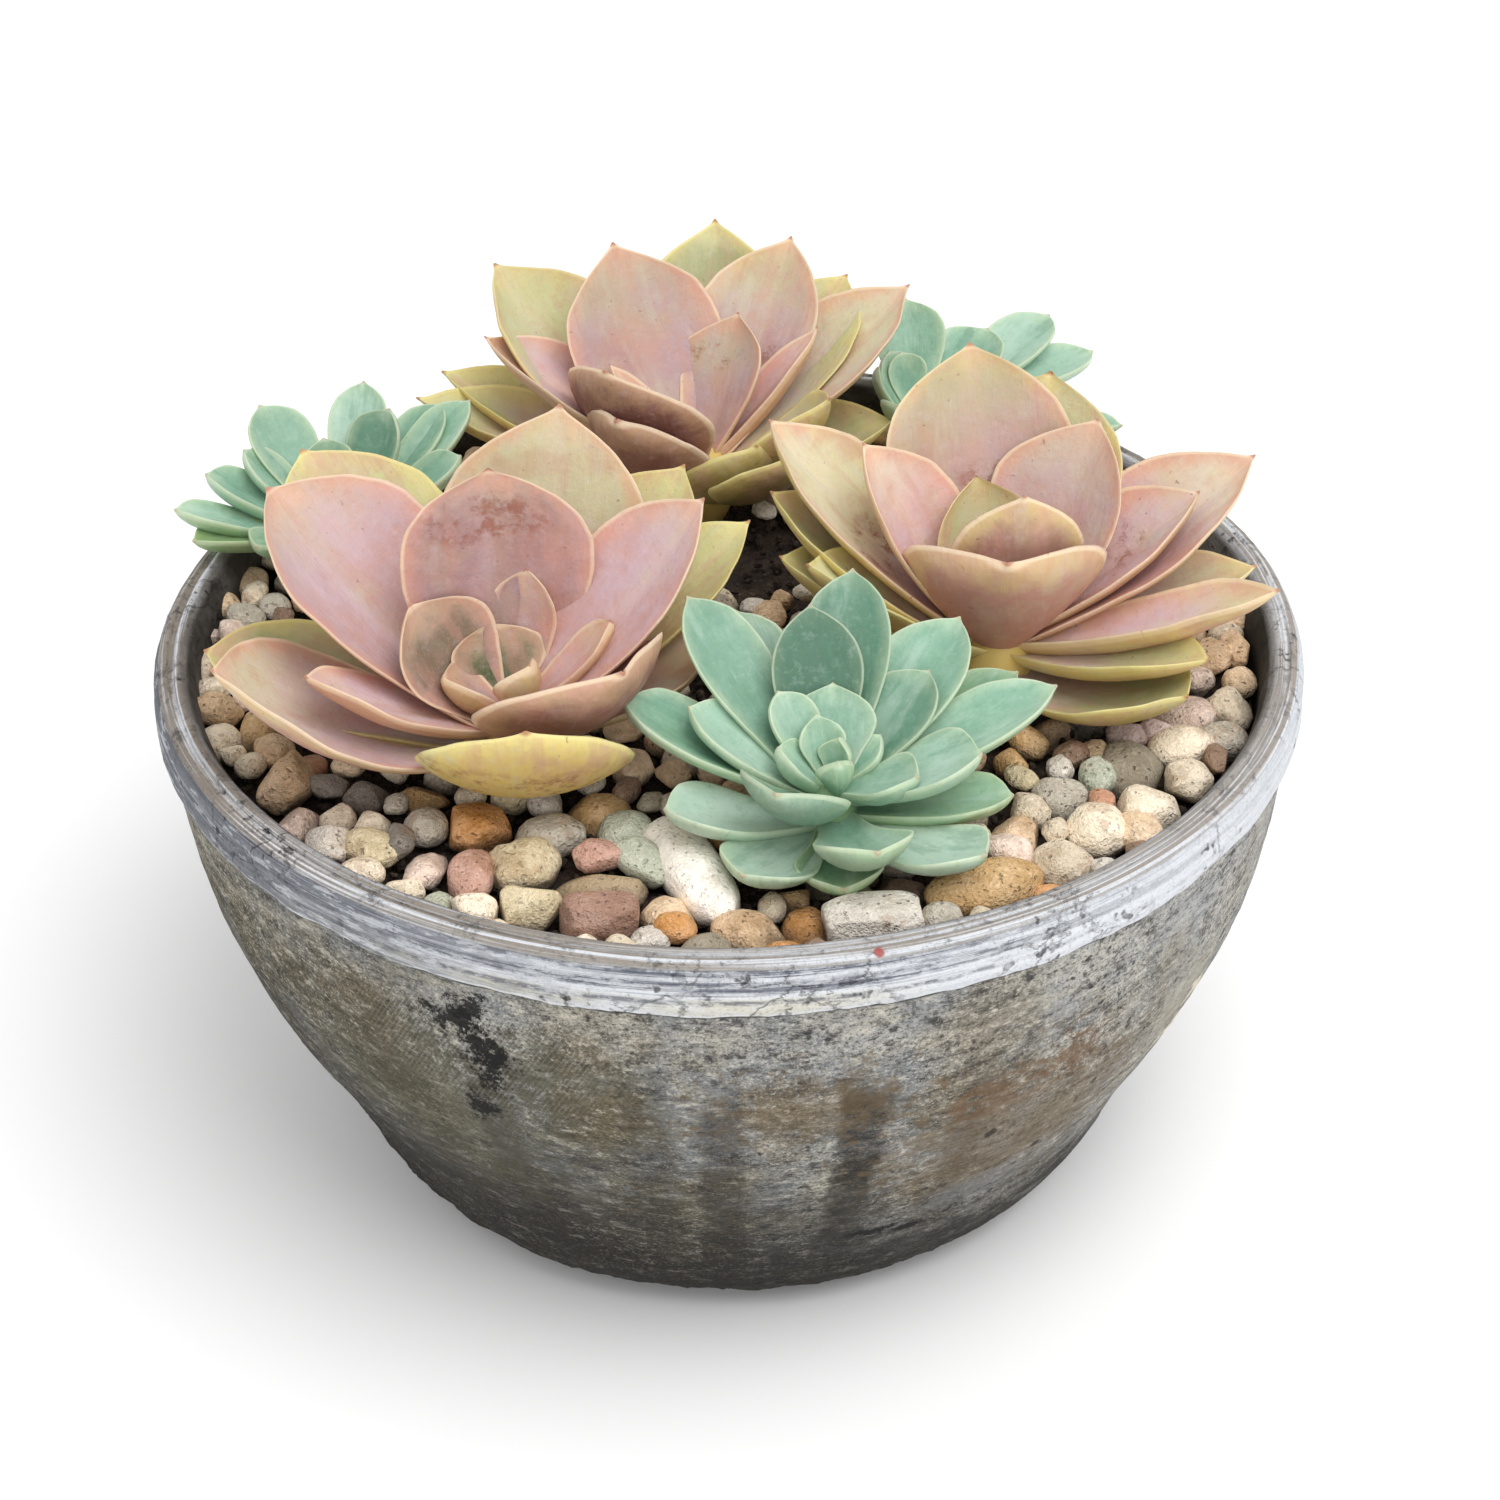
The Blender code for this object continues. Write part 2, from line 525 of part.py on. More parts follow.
def add_pebble(name, place, size, turn, tilt, subdivisions, collection, material=None):
    """A squashed sphere: place is its middle, size its length, width and height, the angles in degrees."""
    bm = bmesh.new()
    bmesh.ops.create_icosphere(bm, subdivisions=subdivisions, radius=0.5)
    bmesh.ops.scale(bm, verts=bm.verts, vec=size)
    turned = Euler((math.radians(tilt), 0, math.radians(turn))).to_matrix()
    bmesh.ops.rotate(bm, verts=bm.verts, matrix=turned)
    bmesh.ops.translate(bm, verts=bm.verts, vec=place)
    return new_object(name, mesh_from(bm, name), collection, material)


def wanted_pebbles(draw, wall):
    """Every pebble to try, as place, length, width, turn and spacing: the open ones first."""
    for x, y, length, width, turn in OPEN_PEBBLES:
        yield x * MM, y * MM, length * MM, width * MM, turn, OPEN_PEBBLE_SPACING
    for _ in range(FILL_TRIES):
        angle, distance = draw.uniform(0, math.tau), wall * math.sqrt(draw.random())
        length = draw.uniform(*FILL_LENGTHS)
        width = length * draw.uniform(*FILL_WIDTH_SHARES)
        x, y = distance * math.cos(angle), distance * math.sin(angle)
        yield x, y, length, width, draw.uniform(0, 180), FILL_SPACING


def pebble_places():
    """Where the gravel's pebbles lie, as middle, size and turn, clear of the leaves, stems and big stones."""
    draw = random.Random(FILL_SEED)
    wall = inner_radius(GRAVEL_TOP) - TOUCH_GAP
    undersides = leaf_undersides()
    taken = [(*stone_middle(stone)[:2], sum(stone.size[:2]) * MM / 2) for stone in STONES]
    places = []
    for x, y, length, width, turn, spacing in wanted_pebbles(draw, wall):
        reach = length / 2
        distance = math.hypot(x, y)
        if distance + reach > wall:
            x, y = x * (wall - reach) / distance, y * (wall - reach) / distance
        if any(math.hypot(x - a, y - b) < spacing * (length + size) for a, b, size in taken):
            continue
        if is_bare(x, y, reach):
            continue
        leaf_above = lowest_leaf_above(x, y, reach + LEAF_CLEARANCE, undersides)
        top = min(GRAVEL_TOP + draw.uniform(*PEBBLE_TOP_SPREAD), leaf_above - LEAF_CLEARANCE)
        if top < GRAVEL_BASE_TOP + PEBBLE_LEAST_SHOW:
            continue
        height = min(PEBBLE_FLATNESS * width, top - SOIL_TOP - PEBBLE_ABOVE_SOIL)
        taken.append((x, y, length))
        places.append(((x, y, top - height / 2), (length, width, height), turn))
    return places


def is_bare(x, y, reach):
    """Whether a pebble would lie in the bare soil patch or against a rosette's core."""
    patch_x = (x - SOIL_PATCH_CENTRE[0]) / (SOIL_PATCH_SIZE[0] + reach)
    patch_y = (y - SOIL_PATCH_CENTRE[1]) / (SOIL_PATCH_SIZE[1] + reach)
    if math.hypot(patch_x, patch_y) < 1:
        return True
    for rosette in ROSETTES:
        core_x, core_y = rosette.crown[0] * MM, rosette.crown[1] * MM
        if math.hypot(x - core_x, y - core_y) < rosette.core_radius * MM + STEM_CLEARANCE + reach:
            return True
    return False


def stone_middle(stone):
    x, y = stone.place
    return x * MM, y * MM, GRAVEL_TOP + STONE_ABOVE_GRAVEL - stone.size[2] * MM / 2


def make_stones(collection):
    for stone in STONES:
        size = [value * MM for value in stone.size]
        material = new_material(stone.name, stone.colour, 0.6)
        add_pebble(stone.name, stone_middle(stone), size, stone.turn, 0, 2, collection, material)


def make_gravel(collection):
    """One layer of pebbles, joined where they touch, with the stems, bare patch and big stones left out."""
    pebble = new_material("river_pebbles", (0.42, 0.33, 0.24), 0.7)
    foot = SOIL_TOP + TOUCH_GAP
    profile = [(0, GRAVEL_BASE_TOP), (inner_radius(GRAVEL_BASE_TOP) - TOUCH_GAP, GRAVEL_BASE_TOP),
               (inner_radius(foot) - TOUCH_GAP, foot), (0, foot)]
    gravel = turned_object("gravel", profile, TURNED_SIDES, collection, pebble)
    pebbles = new_collection("gravel_pebbles")
    for number, (middle, size, turn) in enumerate(pebble_places()):
        add_pebble(f"pebble_{number}", middle, size, turn, PEBBLE_TILT, 1, pebbles)
    run_boolean(gravel, "UNION", pebbles, "MANIFOLD")
    cutters = new_collection("gravel_cutters")
    for stone in STONES:
        size = [value * MM + 2 * STONE_SEAT_GAP for value in stone.size]
        add_pebble("seat_" + stone.name, stone_middle(stone), size, stone.turn, 0, 2, cutters)
    for rosette in ROSETTES:
        place = [value * MM for value in rosette.crown[:2]]
        radius = rosette.stem_radius * MM + STEM_CLEARANCE
        add_cutter("gap_" + rosette.name, place, radius, SOIL_TOP, BOWL_HEIGHT, cutters)
    patch = add_cutter("bare_patch", (0, 0), 1, SOIL_TOP, BOWL_HEIGHT, cutters)
    patch.data.transform(Matrix.Diagonal((*SOIL_PATCH_SIZE, 1, 1)))
    patch.data.transform(Matrix.Translation((*SOIL_PATCH_CENTRE, 0)))
    run_boolean(gravel, "DIFFERENCE", cutters, "MANIFOLD")
    tidy_solid(gravel)


def main():
    clear_scene()
    garden = new_collection("succulent_dish_garden")
    make_bowl(garden)
    make_soil(garden)
    make_gravel(garden)
    make_stones(garden)
    for rosette in ROSETTES:
        make_rosette(rosette, garden)


main()
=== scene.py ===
import math
import random

import bmesh
import bpy
from mathutils import Matrix, Vector


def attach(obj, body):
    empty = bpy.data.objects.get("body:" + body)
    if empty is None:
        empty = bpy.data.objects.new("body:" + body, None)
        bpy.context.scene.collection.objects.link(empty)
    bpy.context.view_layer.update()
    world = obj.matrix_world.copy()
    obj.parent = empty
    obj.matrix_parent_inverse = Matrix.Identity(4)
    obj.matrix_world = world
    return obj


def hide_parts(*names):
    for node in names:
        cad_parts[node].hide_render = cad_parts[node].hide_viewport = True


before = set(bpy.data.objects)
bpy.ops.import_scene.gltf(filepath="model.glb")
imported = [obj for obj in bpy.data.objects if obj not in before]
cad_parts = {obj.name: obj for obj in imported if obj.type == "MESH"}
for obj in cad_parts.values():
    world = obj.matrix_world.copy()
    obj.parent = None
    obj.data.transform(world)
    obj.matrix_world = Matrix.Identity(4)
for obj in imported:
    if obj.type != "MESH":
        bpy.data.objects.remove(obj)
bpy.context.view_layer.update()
mm = 0.001
print("frame loaded:", len(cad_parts), "nodes")


# Colours are picked as screen values from 0 to 255

def colour(red, green, blue):
    def linear(value):
        share = value / 255
        return share / 12.92 if share < 0.04045 else ((share + 0.055) / 1.055) ** 2.4
    return (linear(red), linear(green), linear(blue), 1)


# Nodes

def plug(tree, value, slot):
    if isinstance(value, Field):
        tree.links.new(value.socket, slot)
    elif isinstance(value, bpy.types.NodeSocket):
        tree.links.new(value, slot)
    else:
        slot.default_value = value


def socketNamed(sockets, name):
    return next(socket for socket in sockets if socket.name == name and socket.enabled)


def put(tree, kind, inputs=None, **settings):
    node = tree.nodes.new(kind)
    for name, value in settings.items():
        setattr(node, name, value)
    for name, value in (inputs or {}).items():
        plug(tree, value, socketNamed(node.inputs, name))
    return node


class Field:  # a number that runs through a node tree, so that a rule can be written as a sum
    def __init__(self, tree, socket):
        self.tree = tree
        self.socket = socket

    def calc(self, operation, *others):
        node = put(self.tree, "ShaderNodeMath", operation=operation)
        for slot, value in zip(node.inputs, (self, *others)):
            plug(self.tree, value, slot)
        return Field(self.tree, node.outputs[0])

    def __add__(self, other):
        return self.calc("ADD", other)

    def __radd__(self, other):
        return self.calc("ADD", other)

    def __sub__(self, other):
        return self.calc("SUBTRACT", other)

    def __rsub__(self, other):
        return self.calc("MULTIPLY", -1.0).calc("ADD", other)

    def __mul__(self, other):
        return self.calc("MULTIPLY", other)

    def __rmul__(self, other):
        return self.calc("MULTIPLY", other)

    def __truediv__(self, other):
        return self.calc("DIVIDE", other)

    def __pow__(self, other):
        return self.calc("POWER", other)

    def size(self):
        return self.calc("ABSOLUTE")

    def between(self, low, high):  # 0 below low, 1 above high, smooth between them
        node = put(self.tree, "ShaderNodeMapRange", {"Value": self, "From Min": low, "From Max": high},
                   interpolation_type="SMOOTHSTEP")
        return Field(self.tree, node.outputs[0])


def parts(tree, vector):
    node = put(tree, "ShaderNodeSeparateXYZ", {"Vector": vector})
    return [Field(tree, socket) for socket in node.outputs]


def joined(tree, x, y, z):
    return put(tree, "ShaderNodeCombineXYZ", {"X": x, "Y": y, "Z": z}).outputs[0]


def noise(tree, place, scale, detail=3.0, roughness=0.55, seed=None):
    inputs = {"Vector": place, "Scale": scale, "Detail": detail, "Roughness": roughness}
    if seed is not None:
        inputs["W"] = seed
    node = put(tree, "ShaderNodeTexNoise", inputs, noise_dimensions="3D" if seed is None else "4D")
    return Field(tree, node.outputs[0])


def vectorMath(tree, operation, first, second, output="Vector"):
    node = put(tree, "ShaderNodeVectorMath", operation=operation)
    plug(tree, first, node.inputs[0])
    plug(tree, second, node.inputs[1])
    return node.outputs[output]


def groupSockets(tree, direction, sockets):
    for kind, names in sockets.items():
        for name in names:
            tree.interface.new_socket(name, in_out=direction, socket_type="NodeSocket" + kind)


def growMesh(item, tree, values):
    modifier = item.modifiers.new(tree.name, "NODES")
    modifier.node_group = tree
    for socket in tree.interface.items_tree:
        if socket.in_out == "INPUT" and socket.name in values:
            modifier[socket.identifier] = values[socket.name]
    graph = bpy.context.evaluated_depsgraph_get()
    mesh = bpy.data.meshes.new_from_object(item.evaluated_get(graph), depsgraph=graph)
    item.modifiers.remove(modifier)
    item.data = mesh
    return item


def pointObject(name, rows, fields):
    # one vertex for each row, with the row's values as attributes
    mesh = bpy.data.meshes.new(name)
    mesh.from_pydata([(0, 0, 0)] * len(rows), [], [])
    for field, (kind, pick) in fields.items():
        attribute = mesh.attributes.new(field, kind, "POINT")
        for slot, row in zip(attribute.data, rows):
            if kind == "FLOAT":
                slot.value = pick(row)
            elif kind == "FLOAT_VECTOR":
                slot.vector = pick(row)
            else:
                slot.color = pick(row)
    item = bpy.data.objects.new(name, mesh)
    bpy.context.scene.collection.objects.link(item)
    return item


def readField(tree, name, kind="FLOAT"):
    node = put(tree, "GeometryNodeInputNamedAttribute", {"Name": name}, data_type=kind)
    socket = socketNamed(node.outputs, "Attribute")
    return Field(tree, socket) if kind == "FLOAT" else socket


def storeField(tree, geometry, name, value, kind="FLOAT"):
    node = put(tree, "GeometryNodeStoreNamedAttribute", {"Geometry": geometry, "Name": name, "Value": value},
               data_type=kind, domain="POINT")
    return node.outputs[0]


def position(tree):
    return put(tree, "GeometryNodeInputPosition").outputs[0]


def shifted(tree, geometry, offset):
    return put(tree, "GeometryNodeSetPosition", {"Geometry": geometry, "Offset": offset}).outputs[0]


def pushedOut(tree, geometry, distance):
    away = put(tree, "ShaderNodeVectorMath", {"Vector": put(tree, "GeometryNodeInputNormal").outputs[0]},
               operation="SCALE")
    plug(tree, distance, away.inputs["Scale"])
    return shifted(tree, geometry, away.outputs[0])


def turnedBy(tree, vector, field):
    angles = readField(tree, field, "FLOAT_VECTOR")
    return put(tree, "ShaderNodeVectorRotate", {"Vector": vector, "Rotation": angles},
               rotation_type="EULER_XYZ").outputs[0]


def copiesOnPoints(tree, points, shape):
    # real copies of a shape; "blank" keeps where on the shape each vertex was
    blank = storeField(tree, shape, "blank", position(tree), "FLOAT_VECTOR")
    copies = put(tree, "GeometryNodeInstanceOnPoints", {"Points": points, "Instance": blank})
    return put(tree, "GeometryNodeRealizeInstances", {"Geometry": copies.outputs[0]}).outputs[0]


def startTree(name, inputs):
    tree = bpy.data.node_groups.new(name, "GeometryNodeTree")
    groupSockets(tree, "INPUT", {"Geometry": ["Geometry"], **inputs})
    groupSockets(tree, "OUTPUT", {"Geometry": ["Geometry"]})
    start = put(tree, "NodeGroupInput")
    return tree, {socket.name: Field(tree, socket) for socket in start.outputs}


def finishTree(tree, geometry, material):
    smooth = put(tree, "GeometryNodeSetShadeSmooth", {"Geometry": geometry})
    real = put(tree, "GeometryNodeRealizeInstances", {"Geometry": smooth.outputs[0]})
    painted = put(tree, "GeometryNodeSetMaterial", {"Geometry": real.outputs[0], "Material": material})
    tree.links.new(painted.outputs[0], put(tree, "NodeGroupOutput").inputs[0])


# Shared shader groups

def newGroup(name, inputs, outputs):
    group = bpy.data.node_groups.new(name, "ShaderNodeTree")
    groupSockets(group, "INPUT", inputs)
    groupSockets(group, "OUTPUT", outputs)
    return group, put(group, "NodeGroupInput"), put(group, "NodeGroupOutput")


def finishGroup(group, end, fields):
    for name, field in fields.items():
        plug(group, field, end.inputs[name])
    return group


def mottleGroup():
    # soft patches, fine grains and dark pits, each as a mask from 0 to 1
    group, start, end = newGroup(
        "mottle", {"Vector": ["Place"], "Float": ["Patch Scale", "Grain Scale", "Pit Scale"]},
        {"Float": ["Patches", "Grains", "Pits"]})
    place = start.outputs["Place"]
    patches = noise(group, place, start.outputs["Patch Scale"], 4.0, 0.6).between(0.35, 0.65)
    grains = noise(group, place, start.outputs["Grain Scale"], 2.0, 0.7).between(0.3, 0.7)
    pits = noise(group, place, start.outputs["Pit Scale"], 2.0, 0.5).between(0.62, 0.72)
    return finishGroup(group, end, {"Patches": patches, "Grains": grains, "Pits": pits})


def leafMarksGroup():
    # masks that follow a leaf: its thin rim, the wider halo inside it, patches, specks, fine streaks
    # and a height
    group, start, end = newGroup(
        "leafMarks", {"Vector": ["Place"],
                      "Float": ["Edge", "Rim Width", "Halo Width", "Patch Scale", "Speck Scale"]},
        {"Float": ["Rim", "Halo", "Patches", "Specks", "Streaks", "Height"]})
    edge = Field(group, start.outputs["Edge"])
    place = start.outputs["Place"]
    rimWidth = Field(group, start.outputs["Rim Width"])
    haloWidth = Field(group, start.outputs["Halo Width"])
    x, y, z = parts(group, place)
    rim = 1.0 - edge.between(rimWidth * 0.45, rimWidth)
    wander = edge + (noise(group, place, 180.0, 3.0, 0.6) - 0.5) * haloWidth
    halo = 1.0 - wander.between(haloWidth * 0.05, haloWidth)
    patches = noise(group, place, start.outputs["Patch Scale"], 5.0, 0.68).between(0.36, 0.64)
    specks = noise(group, place, start.outputs["Speck Scale"], 2.0, 0.6).between(0.7, 0.76)
    streaks = noise(group, joined(group, x, y * 0.12, z), 900.0, 3.0, 0.6).between(0.42, 0.7)
    height = noise(group, place, 240.0, 4.0, 0.6) * 0.7 + streaks * 0.15 + patches * 0.25
    return finishGroup(group, end, {"Rim": rim, "Halo": halo, "Patches": patches, "Specks": specks,
                                    "Streaks": streaks, "Height": height})


def spotGroup():
    # one ragged spot: its middle, its reach across and up, and how broken it is
    group, start, end = newGroup(
        "spot", {"Vector": ["Place", "Middle"], "Float": ["Across", "Tall", "Ragged"]}, {"Float": ["Mask"]})
    place, middle = start.outputs["Place"], start.outputs["Middle"]
    away = [here - there for here, there in zip(parts(group, place), parts(group, middle))]
    across, tall = Field(group, start.outputs["Across"]), Field(group, start.outputs["Tall"])
    sideways = (away[0] * away[0] + away[1] * away[1]) / (across * across)
    upright = away[2] * away[2] / (tall * tall)
    broken = (noise(group, place, 260.0, 6.0, 0.85) - 0.5) * Field(group, start.outputs["Ragged"])
    distance = (sideways + upright).calc("SQRT") + broken
    return finishGroup(group, end, {"Mask": 1.0 - distance.between(0.55, 0.95)})


mottle = mottleGroup()
leafMarks = leafMarksGroup()
spot = spotGroup()


def useGroup(tree, group, inputs):
    node = put(tree, "ShaderNodeGroup", node_tree=group)
    for name, value in inputs.items():
        plug(tree, value, node.inputs[name])
    return {socket.name: Field(tree, socket) for socket in node.outputs}


def newMaterial(name, roughness):
    material = bpy.data.materials.new(name)
    material.use_nodes = True
    tree = material.node_tree
    shader = tree.nodes["Principled BSDF"]
    shader.inputs["Roughness"].default_value = roughness
    place = put(tree, "ShaderNodeTexCoord").outputs["Object"]
    return material, tree, shader, place


def mix(tree, share, first, second):
    node = put(tree, "ShaderNodeMix", {"Factor": share, "A": first, "B": second}, data_type="RGBA")
    return socketNamed(node.outputs, "Result")


def coat(tree, base, palette, layers):
    # lays colours over one another; a layer is its share, from 0 to 1, and its colour
    for share, tone in layers:
        base = mix(tree, share, base, palette[tone] if isinstance(tone, str) else tone)
    return base


def surfaceValue(tree, name, output):
    return put(tree, "ShaderNodeAttribute", attribute_name=name).outputs[output]


def surfaceField(tree, name):
    return Field(tree, surfaceValue(tree, name, "Fac"))


def paint(tree, shader, face, roughness):
    plug(tree, face, shader.inputs["Base Color"])
    plug(tree, roughness, shader.inputs["Roughness"])


def bump(tree, shader, height, strength, distance):
    node = put(tree, "ShaderNodeBump", {"Height": height, "Strength": strength, "Distance": distance})
    tree.links.new(node.outputs[0], shader.inputs["Normal"])


print("node groups made")

# Leaf materials

pinkLeaf = {
    "rose": colour(211, 172, 168), "lilac": colour(210, 184, 192), "sand": colour(222, 210, 184),
    "olive": colour(204, 204, 148), "yellow": colour(228, 212, 138), "salmon": colour(226, 164, 134),
    "mint": colour(204, 208, 170), "shadow": colour(160, 138, 128), "gold": colour(218, 192, 112),
    "brick": colour(200, 150, 136), "duskAndShadeMauve": colour(124, 80, 66), "duskAndShadeOlive": colour(88, 98, 62),
    "rim": colour(242, 220, 190), "goldRim": colour(236, 222, 150), "tip": colour(168, 96, 78),
    "speck": colour(128, 88, 70), "stain": colour(150, 84, 62), "rimWidth": 1.3, "haloWidth": 7.0,
    "patchScale": 60.0, "speckScale": 620.0, "specular": 0.35, "relief": 0.5, "reliefDepth": 0.0006,
    "glow": (0.004, 0.0018, 0.0012),
}
greenLeaf = {
    "halo": colour(198, 216, 182), "deep": colour(92, 138, 114), "teal": colour(140, 181, 157),
    "frost": colour(205, 224, 211), "lime": colour(150, 176, 104), "duskAndShade": colour(70, 104, 84),
    "rim": colour(222, 228, 196), "tip": colour(186, 146, 116), "speck": colour(90, 112, 90),
    "rimWidth": 0.8, "haloWidth": 4.0, "patchScale": 90.0, "speckScale": 700.0, "specular": 0.4,
    "relief": 0.4, "reliefDepth": 0.0005, "glow": (0.0015, 0.003, 0.0018),
}


def leafAttributes(tree, looks):
    # where on its leaf a spot lies, the leaf's own tints with painted shade on shaded leaves, and the marks
    # that follow it
    names = ("leafAlong", "leafAcross", "leafTop", "leafEdge", "rose", "gold", "duskAndShade")
    along, across, top, edge, rose, gold, duskAndShade = (surfaceField(tree, name) for name in names)
    place = surfaceValue(tree, "leafPlace", "Vector")
    marks = useGroup(tree, leafMarks, {
        "Edge": edge, "Place": place, "Rim Width": looks["rimWidth"], "Halo Width": looks["haloWidth"],
        "Patch Scale": looks["patchScale"], "Speck Scale": looks["speckScale"]})
    return along, across, top, rose, gold, duskAndShade, marks, place


def brushed(tree, place, stretch, scale, roughness):
    # soft bands along the leaf
    x, y, z = parts(tree, place)
    return noise(tree, joined(tree, x, y * stretch, z), scale, 4.0, roughness)


def finishLeaf(tree, shader, looks, body, roughness, height):
    paint(tree, shader, body, roughness)
    shader.inputs["Specular IOR Level"].default_value = looks["specular"]
    shader.inputs["Subsurface Weight"].default_value = 0.12
    shader.inputs["Subsurface Radius"].default_value = looks["glow"]
    shader.inputs["Subsurface Scale"].default_value = 1.0
    bump(tree, shader, height, looks["relief"], looks["reliefDepth"])


def makePinkLeafMaterial():
    material, tree, shader, _ = newMaterial("pinkLeaf", 0.5)
    along, across, top, rose, gold, duskAndShade, marks, place = leafAttributes(tree, pinkLeaf)
    drift = noise(tree, place, 32.0, 4.0, 0.65) - 0.5
    mealy = noise(tree, place, 420.0, 4.0, 0.75)
    broken = noise(tree, place, 75.0, 4.0, 0.7)
    upper = (along - 0.38 - rose * 0.5 + drift * 0.7).between(-0.2, 0.22)
    pink = mix(tree, marks["Patches"], pinkLeaf["rose"], pinkLeaf["lilac"])
    pale = mix(tree, (gold * 1.1 + drift).between(0.1, 0.75), pinkLeaf["sand"], pinkLeaf["olive"])
    face = mix(tree, upper, pink, pale)
    face = mix(tree, (1.0 - along.between(0.0, 0.4)) * 0.4, face, pinkLeaf["shadow"])
    # painted highlight: a pale stripe along the folded middle of the upper face
    keelHighlight = 1.0 - (across * 4.0).size().between(0.0, 1.0)
    face = mix(tree, keelHighlight * 0.22, face, pinkLeaf["rim"])
    halo = mix(tree, (gold + drift * 0.8).between(0.3, 0.6), pinkLeaf["salmon"], pinkLeaf["yellow"])
    face = mix(tree, marks["Halo"] * 0.62, face, halo)

    golden = (gold * 1.3 - rose * 0.7 + drift * 1.2).between(0.0, 0.6)
    under = mix(tree, golden, pinkLeaf["brick"], pinkLeaf["gold"])
    under = mix(tree, (marks["Halo"] * 0.8).calc("MINIMUM", gold + 0.3), under, pinkLeaf["yellow"])
    body = mix(tree, top.between(-0.3, 0.0), under, face)
    # painted shade: a leaf in shade turns dark mauve when rosy and dark olive otherwise, partly its own
    # darker tone
    duskAndShadeTone = mix(tree, rose.between(0.3, 0.8), pinkLeaf["duskAndShadeOlive"], pinkLeaf["duskAndShadeMauve"])
    body = mix(tree, duskAndShade * (1.0 - marks["Halo"] * 0.7), body, duskAndShadeTone)
    flushed = (drift * 2.6 + broken - 0.6).between(0.0, 0.3) * 0.4
    body = mix(tree, flushed, body, pinkLeaf["brick"])
    faded = (broken - drift * 2.6 - 0.6).between(0.0, 0.3) * (0.25 + gold * 0.4)
    body = mix(tree, faded * (1.0 - duskAndShade), body, pinkLeaf["mint"])
    strokes = brushed(tree, place, 0.22, 125.0, 0.62)
    bandTone = mix(tree, gold.between(0.05, 0.5), pinkLeaf["lilac"], pinkLeaf["mint"])
    body = coat(tree, body, pinkLeaf, [
        (strokes.between(0.52, 0.64) * 0.42 * (1.0 - duskAndShade), bandTone),
        ((1.0 - strokes.between(0.36, 0.48)) * 0.34, "brick"),
        (mealy.between(0.5, 0.72) * 0.28, "brick"),
        ((1.0 - mealy.between(0.3, 0.5)) * 0.2, "lilac"),
        (marks["Streaks"] * 0.05, "shadow")])
    rim = mix(tree, gold.between(0.3, 0.7), pinkLeaf["rim"], pinkLeaf["goldRim"])
    body = coat(tree, body, pinkLeaf, [
        (marks["Rim"] * (0.3 + mealy * 0.5), rim),
        (marks["Specks"] * 0.5, "speck")])

    # a scuffed patch on the leaves that have one: its place along and across the leaf, and its size
    scuffAlong, scuffAcross, scuffSize = parts(tree, surfaceValue(tree, "stain", "Vector"))
    sideways = (across - scuffAcross).size() * 0.26
    distance = (((along - scuffAlong) * 1.7) ** 2.0 + sideways ** 2.0).calc("SQRT") / (scuffSize + 0.001)
    blotches = noise(tree, place, 210.0, 6.0, 0.85)
    scuff = (1.0 - distance).between(0.0, 0.5) * (blotches - 0.49 + (broken - 0.5) * 0.8).between(0.0, 0.16)
    body = coat(tree, body, pinkLeaf, [
        (scuff * scuffSize.between(0.01, 0.02) * 0.65, "stain"),
        (along.between(0.978, 0.994) * 0.75, "tip")])
    finishLeaf(tree, shader, pinkLeaf, body, 0.44 + marks["Patches"] * 0.16,
               marks["Height"] + mealy * 0.4 - scuff * 0.4)
    return material


def makeGreenLeafMaterial():
    material, tree, shader, _ = newMaterial("greenLeaf", 0.5)
    along, _, top, pale, gold, duskAndShade, marks, place = leafAttributes(tree, greenLeaf)
    drift = noise(tree, place, 50.0, 4.0, 0.65) - 0.5
    mealy = noise(tree, place, 480.0, 4.0, 0.75)
    face = mix(tree, (pale * 1.6 + drift * 1.2).between(-0.35, 1.0), greenLeaf["deep"], greenLeaf["teal"])
    # paler leaves take frost, partly their own pale bloom and partly painted highlight
    frostAndHighlight = (pale * 1.3 - 0.45 + drift * 1.3).between(0.0, 1.0) * 0.85
    face = coat(tree, face, greenLeaf, [
        (frostAndHighlight, "frost"),
        ((along - 0.45 + drift * 0.8).between(0.0, 0.5) * 0.35, "teal"),
        (marks["Halo"] * 0.5, "halo"),
        ((gold + drift * 0.9).between(0.2, 1.0) * 0.8, "lime")])
    under = mix(tree, 0.3, face, greenLeaf["frost"])
    under = mix(tree, (drift * 1.4 + gold).between(-0.1, 0.6) * 0.5, under, greenLeaf["lime"])
    body = mix(tree, top.between(-0.3, 0.0), under, face)
    # painted shade on a leaf in shade, partly its own darker tone
    body = coat(tree, body, greenLeaf, [
        (duskAndShade, "duskAndShade"),
        # painted shade: darker towards the leaf base
        ((1.0 - along.between(0.0, 0.5)) * 0.3, "deep"),
        (mealy.between(0.5, 0.72) * 0.22, "deep"),
        ((1.0 - mealy.between(0.3, 0.5)) * 0.14, "frost"),
        (marks["Streaks"] * 0.06, "deep")])
    bloom = brushed(tree, place, 0.25, 150.0, 0.65)
    body = coat(tree, body, greenLeaf, [
        (bloom.between(0.52, 0.68) * 0.32 * (1.0 - duskAndShade), "frost"),
        ((1.0 - bloom.between(0.36, 0.46)) * 0.34, "deep"),
        (marks["Rim"] * (0.1 + mealy * 0.5), "rim"),
        (marks["Specks"] * 0.3, "speck"),
        (along.between(0.976, 0.992) * 0.4, "tip")])
    finishLeaf(tree, shader, greenLeaf, body, 0.4 + marks["Patches"] * 0.2, marks["Height"] + mealy * 0.3)
    return material


# Leaves: one Geometry Nodes tree for the pink plants and one for the green. Each point holds
# the numbers of one leaf.

